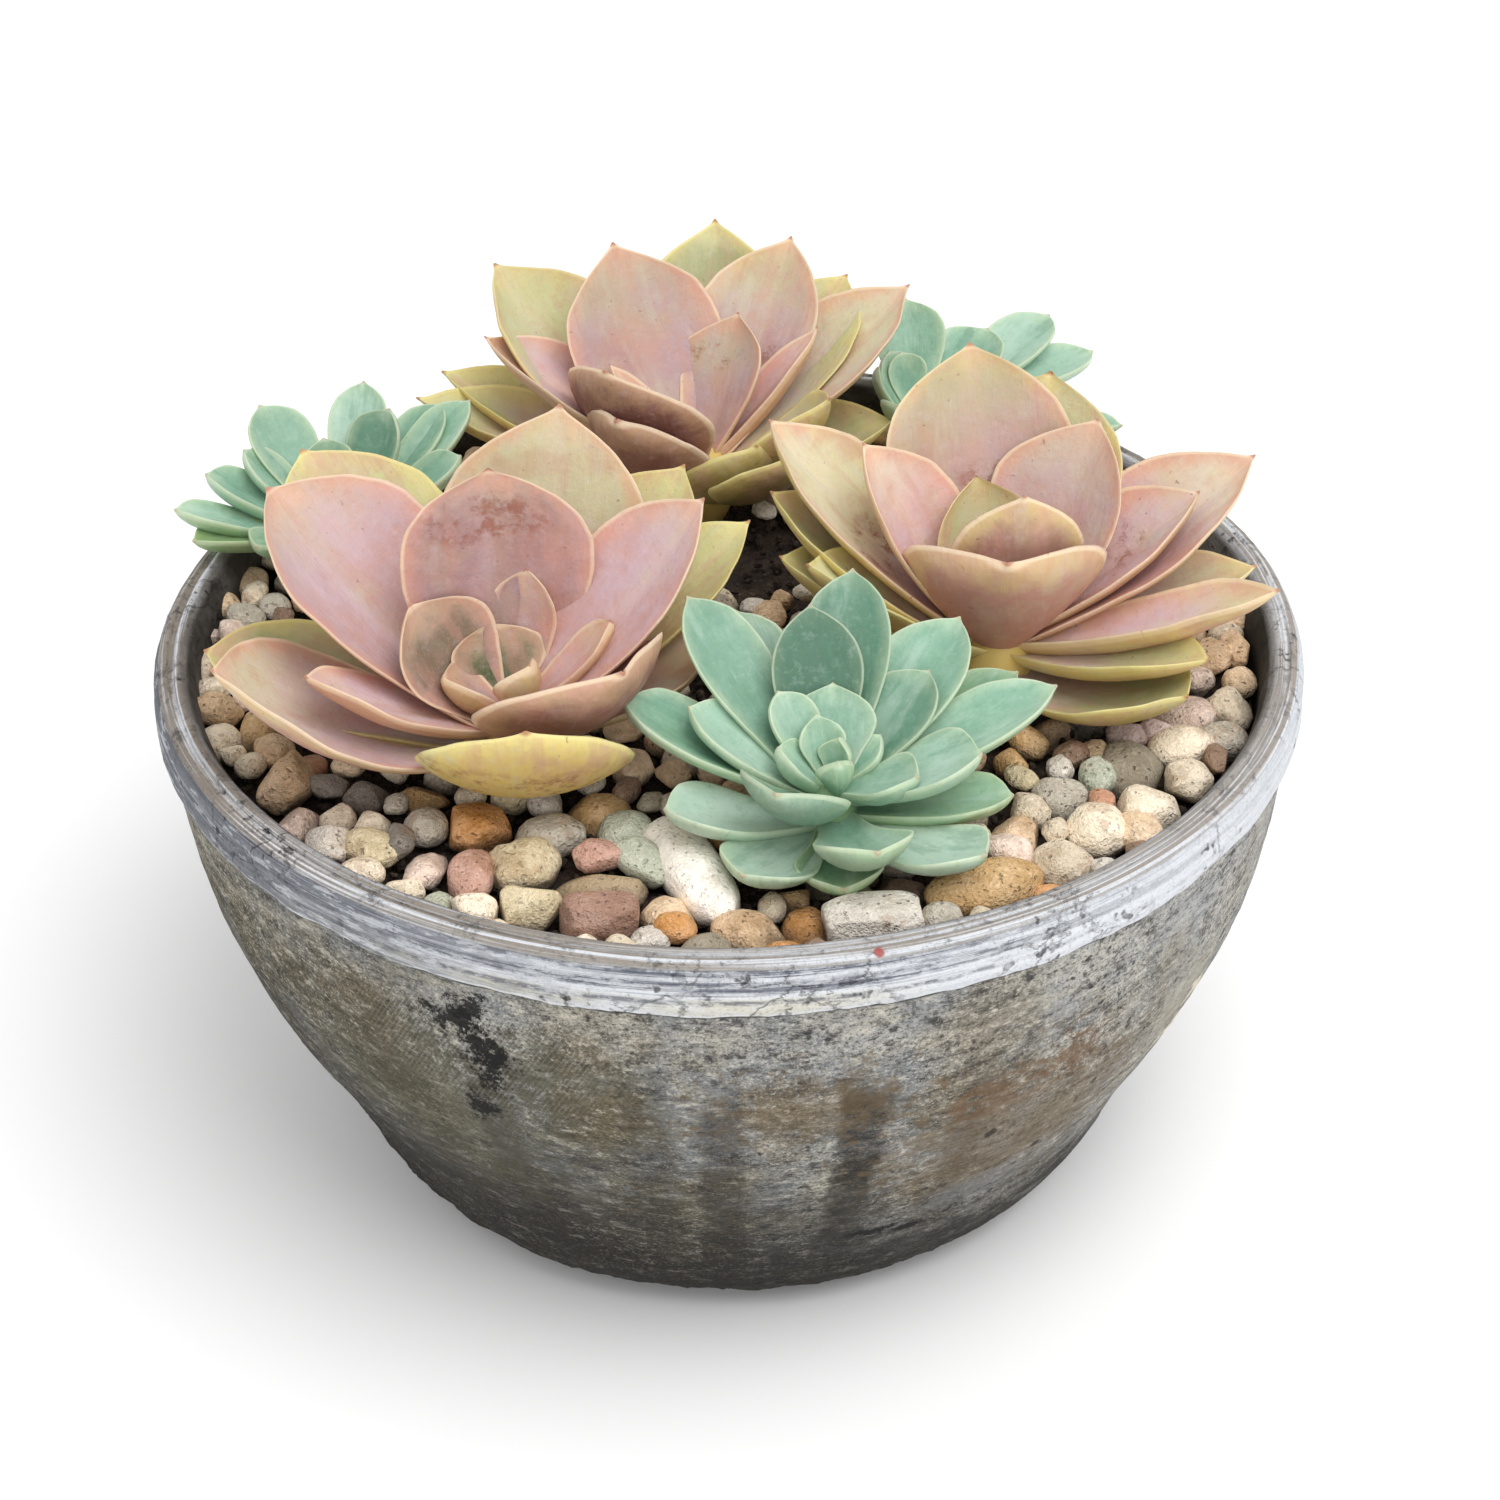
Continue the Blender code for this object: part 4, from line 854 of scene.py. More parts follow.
gravel = {
    "top": 127.5 * mm, "bed": 117 * mm, "flatness": 0.78, "spread": 2.0 * mm, "fillTries": 9000,
    "fillLengths": (7 * mm, 14 * mm), "fillSpacing": 0.4, "wall": 123.8 * mm, "leafGap": 0.6 * mm, "seed": 11,
    "tilt": 16, "lumps": 0.27, "detail": 4, "fillDetail": 3, "leastRise": 3 * mm, "sunk": 2 * mm,
    "stonesRise": 2.5 * mm, "stoneDetail": 5, "leafCell": 4 * mm,
    "fillTones": ("cream", "cream", "peach", "tan", "tan", "ochre", "grey", "blush", "beige", "beige",
                  "paleGrey", "yellowGrey", "brown", "greyBrown"),
    "stain": colour(172, 130, 90), "pit": colour(84, 66, 52), "darkerLow": colour(52, 40, 32),
}
bareSoil = {"middle": (10 * mm, 46 * mm), "size": (20 * mm, 15 * mm)}
bigStones = {
    "white_stone": {"place": (-8, -88), "size": (38, 14, 12), "turn": 114, "tone": "white", "block": 0.3,
                    "lumps": 0.16, "chipped": 0},
    "tan_stone": {"place": (54, -95), "size": (27, 15, 11), "turn": 20, "tone": "ochre", "block": 0.0,
                  "lumps": 0.08, "chipped": 0.1},
    "grey_block_stone": {"place": (30, -107), "size": (22, 12.5, 10), "turn": 4, "tone": "paleGrey",
                         "block": 0.75, "lumps": 0.06, "chipped": 0.3},
    "pink_block_stone": {"place": (-27, -105), "size": (17, 12, 10), "turn": 8, "tone": "oldRose",
                         "block": 0.7, "lumps": 0.14, "chipped": 0.5},
    "cream_round_stone": {"place": (80, -75), "size": (15, 15, 11), "turn": 0, "tone": "cream", "block": 0.1,
                          "lumps": 0.12, "chipped": 0.3},
    "ochre_stone_left": {"place": (-98, -55), "size": (18, 12, 10), "turn": 65, "tone": "tan", "block": 0.2,
                         "lumps": 0.4, "chipped": 0.8},
}
pebbleCuts = (  # direction of each flat cut and how deep it goes on a fully chipped pebble
    ((1, 0.2, 0.3), 0.34), ((-0.5, 1, 0.2), 0.28), ((-0.4, -0.8, 0.5), 0.36), ((0.3, -0.3, -1), 0.3),
    ((0.5, 0.9, 0.8), 0.2), ((-1, 0.1, -0.4), 0.24), ((0.6, -1, -0.1), 0.3),
)


def pebbleTree():
    tree, given = startTree("pebbles", {
        "Int": ["Detail"], "Float": ["Lump Scale", "Pitting", "Pit Scale", "Seed"],
        "Material": ["Pebble Material"]})
    ball = put(tree, "GeometryNodeMeshIcoSphere", {"Radius": 1.0, "Subdivisions": given["Detail"]})
    stones = copiesOnPoints(tree, given["Geometry"], ball.outputs["Mesh"])

    ball = readField(tree, "blank", "FLOAT_VECTOR")
    number = readField(tree, "pebbleNumber") * 5.3 + given["Seed"]
    block = readField(tree, "block")
    lumps = readField(tree, "lumps")
    lump = (noise(tree, ball, given["Lump Scale"], 1.5, 0.5, number) - 0.5) * lumps * 2.0
    pit = (noise(tree, ball, given["Pit Scale"], 2.0, 0.6, number + 9.0) - 0.5) * given["Pitting"]
    swell = 1.0 + lump + pit
    # broken faces: flat cuts, each pebble turned its own way
    turnedBall = turnedBy(tree, ball, "cutTurn")
    chipped = readField(tree, "chipped")
    for cut, depth in pebbleCuts:
        facing = vectorMath(tree, "DOT_PRODUCT", turnedBall, Vector(cut).normalized(), "Value")
        limit = (1.0 - chipped * depth) / Field(tree, facing).calc("MAXIMUM", 0.05)
        swell = swell.calc("SMOOTH_MIN", limit, 0.1)
    # a higher block value squares the ball off
    shaped = [direction.calc("SIGN") * direction.size() ** (1.0 - block * 0.55) * swell
              for direction in parts(tree, ball)]
    sized = vectorMath(tree, "MULTIPLY", joined(tree, *shaped), readField(tree, "halfSize", "FLOAT_VECTOR"))
    placed = vectorMath(tree, "ADD", turnedBy(tree, sized, "turn"), readField(tree, "middle", "FLOAT_VECTOR"))
    stones = put(tree, "GeometryNodeSetPosition", {"Geometry": stones, "Position": placed}).outputs[0]
    finishTree(tree, stones, given["Pebble Material"])
    return tree


pebbleKinds = {
    "FLOAT_VECTOR": ("middle", "halfSize", "turn", "cutTurn"),
    "FLOAT": ("block", "lumps", "chipped", "pebbleNumber"),
    "FLOAT_COLOR": ("tone",),
}
pebbleFields = {name: (kind, lambda row, name=name: row[name])
                for kind, names in pebbleKinds.items() for name in names}


def makePebbleMaterial():
    material, tree, shader, place = newMaterial("riverPebble", 0.6)
    z = parts(tree, place)[2]
    masks = useGroup(tree, mottle, {"Place": place, "Patch Scale": 150.0, "Grain Scale": 1100.0,
                                    "Pit Scale": 760.0})
    tone = surfaceValue(tree, "tone", "Color")
    dark, light = (put(tree, "ShaderNodeHueSaturation", {"Color": tone, "Saturation": rich, "Value": bright})
                   .outputs[0] for rich, bright in ((1.15, 0.58), (0.82, 1.32)))
    veins = noise(tree, place, 190.0, 5.0, 0.75)
    speckled = noise(tree, place, 46.0, 1.0, 0.5).between(0.4, 0.6)
    face = mix(tree, masks["Patches"] * 0.7, light, tone)
    # the whitest pebbles are the smoothest
    rough = 1.0 - surfaceField(tree, "tone").between(0.84, 0.92) * 0.8
    stained = noise(tree, place, 105.0, 5.0, 0.72)
    face = coat(tree, face, gravel, [
        (stained.between(0.54, 0.64) * 0.42 * rough, "stain"),
        ((1.0 - veins.between(0.36, 0.48)) * 0.46 * rough, dark),
        ((1.0 - masks["Grains"]) * (0.15 + speckled * 0.38) * rough, dark),
        (masks["Pits"] * (0.2 + speckled * 0.5) * rough, "pit")])
    # darker towards the bottom of each pebble
    darkerLow = 1.0 - (z + (veins - 0.5) * 0.004).between(0.1215, 0.1262)
    face = mix(tree, darkerLow * 0.8, face, gravel["darkerLow"])
    paint(tree, shader, face, 0.5 + masks["Patches"] * 0.25)
    bump(tree, shader, (masks["Grains"] * 0.5 + veins - masks["Pits"]) * rough, 0.85, 0.0007)
    return material


def leafHeights():
    # the undersides of the leaves, kept in a coarse grid, so that no pebble pokes through them
    cell = gravel["leafCell"]
    heights = {}
    for item in rosettes:
        for vertex in item.data.vertices:
            key = (round(vertex.co.x / cell), round(vertex.co.y / cell))
            if vertex.co.z < heights.get(key, 1):
                heights[key] = vertex.co.z
    return cell, heights


def lowestLeaf(x, y, reach, cell, heights):
    lowest = 1
    steps = math.ceil(reach / cell)
    for i in range(-steps, steps + 1):
        for j in range(-steps, steps + 1):
            key = (round(x / cell) + i, round(y / cell) + j)
            lowest = min(lowest, heights.get(key, 1))
    return lowest


def inBareSoil(x, y, reach):
    across = (x - bareSoil["middle"][0]) / (bareSoil["size"][0] + reach)
    deep = (y - bareSoil["middle"][1]) / (bareSoil["size"][1] + reach)
    return math.hypot(across, deep) < 1


def layPebbles():
    draw = random.Random(gravel["seed"])
    cell, heights = leafHeights()
    taken = []
    for stone in bigStones.values():
        x, y = (value * mm for value in stone["place"])
        taken.append((x, y, (stone["size"][0] + stone["size"][1]) * mm / 2))
    stems = [(plant["crown"][0] * mm, plant["crown"][1] * mm, (plant["core"] + 1) * mm) for plant in plants]
    openRows, fillRows = [], []

    def lay(rows, x, y, length, width, turn, tone):
        reach = (length + width) / 4
        height = gravel["flatness"] * min(length, width)
        top = gravel["top"] + draw.uniform(-1, 1) * gravel["spread"]
        top = min(top, lowestLeaf(x, y, reach * 0.8, cell, heights) - gravel["leafGap"])
        if top < gravel["bed"] + gravel["leastRise"]:
            return
        height = min(height, top - gravel["bed"] + gravel["sunk"])
        rows.append({
            "middle": (x, y, top - height / 2), "halfSize": (length / 2, width / 2, height / 2),
            "turn": (math.radians(draw.uniform(-1, 1) * gravel["tilt"]),
                     math.radians(draw.uniform(-1, 1) * gravel["tilt"]), math.radians(turn)),
            "block": draw.choice((0, 0, 0.1, 0.25)), "lumps": gravel["lumps"] * draw.uniform(0.6, 1.5),
            "chipped": draw.choice((0.1, 0.3, 0.5, 0.8)),
            "cutTurn": [draw.uniform(0, math.tau) for _ in range(3)],
            "pebbleNumber": len(rows), "tone": tones[tone]})
        taken.append((x, y, (length + width) / 2))

    for x, y, across, deep, turn, tone in openPebbles:
        lay(openRows, x * mm, y * mm, across * mm, deep * mm, turn, tone)
    for _ in range(gravel["fillTries"]):
        angle, distance = draw.uniform(0, math.tau), gravel["wall"] * math.sqrt(draw.random())
        length = draw.uniform(*gravel["fillLengths"])
        width, turn = length * draw.uniform(0.7, 0.95), draw.uniform(0, 180)
        tone = draw.choice(gravel["fillTones"])
        distance = min(distance, gravel["wall"] - length / 2)
        x, y = distance * math.cos(angle), distance * math.sin(angle)
        if inBareSoil(x, y, length / 2):
            continue
        if any(math.hypot(x - a, y - b) < size + length / 2 for a, b, size in stems):
            continue
        if any(math.hypot(x - a, y - b) < gravel["fillSpacing"] * (length + size) for a, b, size in taken):
            continue
        lay(fillRows, x, y, length, width, turn, tone)
    return openRows, fillRows


def makePebblePiece(name, rows, detail, nodeName):
    item = pointObject(name, rows, pebbleFields)
    growMesh(item, pebblesTree, {"Detail": detail, "Lump Scale": 1.1, "Pitting": 0.05, "Pit Scale": 5.0,
                                 "Seed": 2.0, "Pebble Material": pebbleMaterial})
    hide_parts(nodeName)
    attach(item, "root")
    return item


pebblesTree = pebbleTree()
pebbleMaterial = makePebbleMaterial()
openRows, fillRows = layPebbles()
openGravel = makePebblePiece("open_pebbles", openRows, gravel["detail"], "gravel")
fillGravel = makePebblePiece("fill_pebbles", fillRows, gravel["fillDetail"], "gravel")
for number, (name, stone) in enumerate(bigStones.items()):
    halfSize = [value * mm / 2 for value in stone["size"]]
    x, y = (value * mm for value in stone["place"])
    row = {**stone, "middle": (x, y, gravel["top"] + gravel["stonesRise"] - halfSize[2]),
           "halfSize": halfSize, "turn": (0, 0, math.radians(stone["turn"])), "cutTurn": (0, 0, number),
           "pebbleNumber": number + 40, "tone": tones[stone["tone"]]}
    item = makePebblePiece(name + "_fine", [row], gravel["stoneDetail"], name)
print("pebbles laid:", len(openRows), "by hand,", len(fillRows), "by rule")

# Soil

soil = {
    "top": 119.5 * mm, "foot": 12.3 * mm, "radius": 123.6 * mm, "footRadius": 82 * mm,
    "rings": 56, "sides": 180,
    "crumbHeight": 2.2 * mm, "crumbScale": 190.0, "side": ((119.6, 85), (109, 60), (98, 34)),
    "earth": colour(44, 34, 28), "loam": colour(74, 58, 46), "shade": colour(28, 22, 19),
    "grit": colour(120, 98, 78),
}


def makeSoilMaterial():
    material, tree, shader, place = newMaterial("soilEarth", 0.95)
    masks = useGroup(tree, mottle, {
        "Place": place, "Patch Scale": 120.0, "Grain Scale": 800.0, "Pit Scale": 300.0})
    face = mix(tree, masks["Patches"], soil["earth"], soil["loam"])
    face = coat(tree, face, soil, [
        (masks["Grains"] * 0.4, "shade"),
        (masks["Pits"] * 0.5, "grit")])
    plug(tree, face, shader.inputs["Base Color"])
    bump(tree, shader, masks["Grains"], 0.8, 0.0012)
    return material


def turned(name, profile, sides):
    # the profile runs down the outer side and both its ends lie on the axis
    mesh = bpy.data.meshes.new(name)
    mesh.from_pydata([(radius, 0, height) for radius, height in profile],
                     [(i, i + 1) for i in range(len(profile) - 1)], [])
    item = bpy.data.objects.new(name, mesh)
    bpy.context.scene.collection.objects.link(item)
    screw = item.modifiers.new("Turn", "SCREW")
    screw.axis = "Z"
    screw.steps = sides
    screw.render_steps = sides
    screw.use_merge_vertices = True
    screw.merge_threshold = 0.00001
    graph = bpy.context.evaluated_depsgraph_get()
    item.data = bpy.data.meshes.new_from_object(item.evaluated_get(graph), depsgraph=graph)
    item.modifiers.clear()
    bm = bmesh.new()
    bm.from_mesh(item.data)
    bmesh.ops.remove_doubles(bm, verts=bm.verts, dist=0.000005)
    bmesh.ops.recalc_face_normals(bm, faces=bm.faces)
    bm.to_mesh(item.data)
    bm.free()
    return item


def roughTopTree():
    # lifts the top of the soil into crumbs and leaves its sides alone
    tree, given = startTree("roughTop", {
        "Float": ["Crumb Height", "Crumb Scale", "Top", "Seed"], "Material": ["Soil Material"]})
    place = position(tree)
    isTop = parts(tree, place)[2].between(given["Top"] - 0.0004, given["Top"] - 0.0001)
    rough = noise(tree, place, given["Crumb Scale"], 4.0, 0.65, given["Seed"]) - 0.5
    lift = rough * given["Crumb Height"] * 2.0 * isTop
    lifted = shifted(tree, given["Geometry"], joined(tree, 0.0, 0.0, lift))
    finishTree(tree, lifted, given["Soil Material"])
    return tree


def makeSoil():
    rings = soil["rings"]
    top = [(soil["radius"] * ring / rings, soil["top"]) for ring in range(rings + 1)]
    side = [(radius * mm, height * mm) for radius, height in soil["side"]]
    foot = [(soil["footRadius"], soil["foot"]), (0, soil["foot"])]
    item = turned("soil_fine", [*top, *side, *foot], soil["sides"])
    growMesh(item, roughTopTree(), {
        "Crumb Height": soil["crumbHeight"], "Crumb Scale": soil["crumbScale"], "Top": soil["top"],
        "Seed": 4.0, "Soil Material": soilMaterial})
    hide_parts("soil")
    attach(item, "root")
    return item


crumbs = {"spacing": 2.6 * mm, "sizes": (1.2, 3.6), "top": 121.5 * mm, "radius": 121 * mm, "seed": 5}


def crumbTree():
    # loose crumbs of soil and grit, scattered evenly over a disc
    tree, given = startTree("crumbs", {
        "Float": ["Disc Radius", "Disc Height", "Crumb Spacing", "Smallest", "Largest"], "Int": ["Seed"],
        "Material": ["Crumb Material"]})
    disc = put(tree, "GeometryNodeMeshCircle", {"Vertices": 96, "Radius": given["Disc Radius"]},
               fill_type="NGON")
    lifted = shifted(tree, disc.outputs[0], joined(tree, 0.0, 0.0, given["Disc Height"]))
    spread = put(tree, "GeometryNodeDistributePointsOnFaces", {
        "Mesh": lifted, "Distance Min": given["Crumb Spacing"], "Density Max": 90000.0,
        "Seed": given["Seed"]},
        distribute_method="POISSON")
    ball = put(tree, "GeometryNodeMeshIcoSphere", {"Radius": 0.5, "Subdivisions": 2})
    sizes = put(tree, "FunctionNodeRandomValue", {
        "Min": given["Smallest"], "Max": given["Largest"], "Seed": given["Seed"]}, data_type="FLOAT")
    turns = put(tree, "FunctionNodeRandomValue", {
        "Min": (0, 0, 0), "Max": (6.28, 6.28, 6.28), "Seed": given["Seed"]}, data_type="FLOAT_VECTOR")
    size = Field(tree, socketNamed(sizes.outputs, "Value"))
    copies = put(tree, "GeometryNodeInstanceOnPoints", {
        "Points": spread.outputs["Points"], "Instance": ball.outputs["Mesh"],
        "Rotation": socketNamed(turns.outputs, "Value"), "Scale": joined(tree, size, size * 0.8, size * 0.6)})
    real = put(tree, "GeometryNodeRealizeInstances", {"Geometry": copies.outputs[0]})
    knobs = (noise(tree, position(tree), 700.0, 1.0, 0.5) - 0.5) * 0.0012
    finishTree(tree, pushedOut(tree, real.outputs[0], knobs), given["Crumb Material"])
    return tree


def makeCrumbs():
    item = pointObject("soil_crumbs", [0], {})
    growMesh(item, crumbTree(), {
        "Disc Radius": crumbs["radius"], "Disc Height": crumbs["top"], "Crumb Spacing": crumbs["spacing"],
        "Smallest": crumbs["sizes"][0] * mm, "Largest": crumbs["sizes"][1] * mm, "Seed": crumbs["seed"],
        "Crumb Material": soilMaterial})
    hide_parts("soil")
    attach(item, "root")
    return item


soilMaterial = makeSoilMaterial()
makeSoil()
crumbPiece = makeCrumbs()
print("soil and crumbs made:", len(crumbPiece.data.polygons), "crumb faces")

# Bowl

bowl = {
    "rimRadius": 135 * mm, "height": 135 * mm, "footRadius": 82 * mm, "wall": 8.5 * mm, "floor": 12 * mm,
    "bandHeight": 13 * mm, "bandStep": 1.9 * mm, "sides": 420, "curveSteps": 12, "rimSteps": 3, "seed": 7.0,
    "wear": {"Dent Depth": 1.1 * mm, "Dent Scale": 16.0, "Line Depth": 0.45 * mm, "Line Scale": 26.0,
             "Grit Depth": 0.5 * mm, "Grit Scale": 210.0, "Foot Crumble": 3.0 * mm, "Ragged Edge": 2.2 * mm},
}
# the rim from the band's foot over the lip: how far in from the rim's radius and down from its top, in mm
rimSection = (
    (0.5, 12.4), (0.1, 11), (0, 9), (0.1, 7), (0.35, 5.4), (0.15, 4.6), (0.8, 3.2), (1.5, 2.1), (1.4, 1.7),
    (2.6, 0.7), (3.6, 0.3), (4.2, 0.9), (4.8, 1.0), (5.4, 0.2), (6.2, 0), (7.2, 0.3), (8, 1), (8.8, 2.2),
    (9.6, 4), (10.1, 6), (10.4, 9))


def smoothCurve(points, steps):
    # a Catmull-Rom curve through the points
    padded = [points[0], *points, points[-1]]
    curve = []
    for before, start, end, after in zip(padded, padded[1:], padded[2:], padded[3:]):
        for step in range(steps):
            t = step / steps
            curve.append(tuple(
                0.5 * (2 * b + (c - a) * t + (2 * a - 5 * b + 4 * c - d) * t ** 2
                       + (3 * b - a - 3 * c + d) * t ** 3)
                for a, b, c, d in zip(before, start, end, after)))
    curve.append(points[-1])
    return curve


def bowlProfile():
    foot, wallTop = bowl["footRadius"], bowl["rimRadius"] - bowl["bandStep"]
    bandFoot = bowl["height"] - bowl["bandHeight"]
    outer = smoothCurve(((foot, 0), (foot + 9 * mm, 4 * mm), (foot + 16.5 * mm, 13.5 * mm),
                         (foot + 25 * mm, 34 * mm), (wallTop - 13 * mm, 61 * mm),
                         (wallTop - 4.4 * mm, 88 * mm), (wallTop, bandFoot)), bowl["curveSteps"])
    rim = smoothCurve([(bowl["rimRadius"] - inward * mm, bowl["height"] - drop * mm)
                       for inward, drop in rimSection], bowl["rimSteps"])
    inner = [(radius - bowl["wall"], height) for radius, height in outer[::3]
             if 2 * bowl["floor"] < height < bowl["height"] - 16 * mm]
    inner.reverse()
    under = [(foot * share, 0) for share in (0, 0.3, 0.6, 0.8, 0.9, 0.96)]
    floor = [(foot * share, bowl["floor"]) for share in (1, 0.5, 0)]
    profile = [*under, *outer, *rim, *inner, *floor]
    profile.reverse()
    return profile


def clayTree():
    tree, given = startTree("wornClay", {
        "Float": [*bowl["wear"], "Band Foot", "Seed"], "Material": ["Clay Material"]})
    seed = given["Seed"]
    x, y, z = parts(tree, position(tree))
    kept = storeField(tree, given["Geometry"], "turnedHeight", z)
    # the band's lower edge wanders up and down
    around = joined(tree, x, y, 0.0)
    bandDistance = (z - given["Band Foot"]).size()
    wander = (noise(tree, around, 55.0, 4.0, 0.6, seed) - 0.5) * 2.0 * given["Ragged Edge"]
    wander = wander * (1.0 - bandDistance.between(0.0005, 0.009))
    ragged = shifted(tree, kept, joined(tree, 0.0, 0.0, wander))

    place = position(tree)
    x, y, z = parts(tree, place)
    radius = (x * x + y * y).calc("SQRT")
    outside = radius.between(0.06, 0.085)
    dents = (noise(tree, place, given["Dent Scale"], 2.0, 0.5, seed + 3.0) - 0.5) * given["Dent Depth"]
    stretched = joined(tree, x, y, z * 14.0)
    lines = (noise(tree, stretched, given["Line Scale"], 3.0, 0.6, seed + 6.0) - 0.5) * given["Line Depth"]
    grit = (noise(tree, place, given["Grit Scale"], 3.0, 0.6, seed + 9.0) - 0.5) * given["Grit Depth"]
    # the foot has crumbled, and higher up at the left
    wornSide = (x * -1.0).between(0.045, 0.08)
    footMask = 1.0 - z.between(0.001, 0.014 + wornSide * 0.04)
    crumble = (noise(tree, place, 120.0, 4.0, 0.7, seed + 12.0) - 0.62).calc("MINIMUM", 0.0) * 2.0
    crumble = crumble * given["Foot Crumble"] * footMask
    rest = z.between(0.0, 0.003)
    push = (dents * 2.0 + lines * 2.0 + grit) * rest * outside + crumble * outside
    finishTree(tree, pushedOut(tree, ragged, push), given["Clay Material"])
    return tree


clay = {
    "cool": colour(118, 122, 124), "warm": colour(112, 101, 76), "pale": colour(172, 166, 150),
    "dark": colour(44, 42, 37), "chalkAndLight": colour(196, 196, 196), "runAndShade": colour(34, 29, 24),
    "grainDark": colour(34, 33, 31), "grainLight": colour(216, 210, 196), "foot": colour(36, 33, 29),
    "band": colour(222, 225, 230), "bandLine": colour(66, 72, 90), "bandCream": colour(208, 200, 172),
    "bandDullAndShade": colour(94, 97, 106), "bandShade": colour(112, 115, 124),
    "grooves": (0.1262, 0.1292, 0.1304, 0.1326),
    "lip": colour(142, 132, 120), "inside": colour(96, 92, 90), "crackAndShadow": colour(38, 38, 42),
    "soot": colour(16, 15, 15), "rust": colour(110, 78, 52), "chip": colour(236, 226, 200),
    "red": colour(160, 66, 60), "umber": colour(104, 86, 60), "olive": colour(80, 76, 58),
    "darkRuns": ((-113, 0.6), (-98, 0.45), (-91, 0.65), (-77.4, 0.95), (-66, 0.4)),
}
bowlMarks = (  # middle (mm), reach across and up (mm), raggedness, tone, strength
    ((62, -104, 66), 40, 34, 3.0, "umber", 0.55), ((-60, -102, 76), 44, 38, 3.0, "olive", 0.5),
    ((-20, -112, 74), 9, 22, 3.0, "cool", 0.55), ((52, -92, 42), 16, 9, 3.6, "cool", 0.5),
    ((98, -74, 82), 12, 20, 3.0, "pale", 0.6), ((16, -104, 44), 26, 16, 3.4, "dark", 0.42),
    ((-62, -80, 36), 30, 18, 3.4, "dark", 0.4), ((-40, -118, 98), 26, 16, 3.2, "olive", 0.6),
    ((16, -122, 92), 26, 16, 3.2, "umber", 0.5),
    ((74, -105, 88), 8, 8, 4.0, "rust", 0.5), ((56, -112, 84), 12, 8, 4.0, "rust", 0.4),
    ((-57, -119, 110), 8, 5, 3.4, "soot", 0.95), ((-53, -121, 114), 5, 5, 3.4, "soot", 0.95),
    ((-51, -120, 102), 7, 7, 3.4, "soot", 0.95), ((-50, -121, 96), 4.5, 8, 3.4, "soot", 0.95),
    ((-52, -115, 84), 4.5, 5.5, 3.0, "soot", 0.95), ((31, -102, 33), 7, 2.2, 2.4, "soot", 0.95),
    ((40, -98, 31), 5, 1.6, 2.0, "soot", 0.95), ((68, -94, 53), 1.6, 2.4, 1.4, "soot", 0.85),
    ((56, -109, 69), 2.2, 2.2, 1.6, "soot", 0.8), ((80, -95, 71), 1.6, 1.4, 1.4, "soot", 0.7),
    ((104, -61, 63), 13, 2.6, 3.0, "chip", 0.9), ((106, -66, 74), 6, 6, 3.2, "chip", 0.7),
    ((30, -129, 134), 1.4, 1.3, 0.8, "red", 0.85),
)


def runDown(tree, x, y, z, degrees):
    # a stain that ran down the outside at one angle round the bowl
    angle = math.radians(degrees)
    aside = (x * math.sin(angle) - y * math.cos(angle)).size()
    facing = (x * math.cos(angle) + y * math.sin(angle)).between(0.0, 0.03)
    wander = (noise(tree, joined(tree, x, y, z * 0.4), 150.0, 4.0, 0.7) - 0.5) * 0.012
    width = 1.0 - (aside + wander).between(0.0025, 0.007)
    return width * z.between(0.012, 0.04) * (1.0 - (z + wander * 3.0).between(0.086, 0.11)) * facing


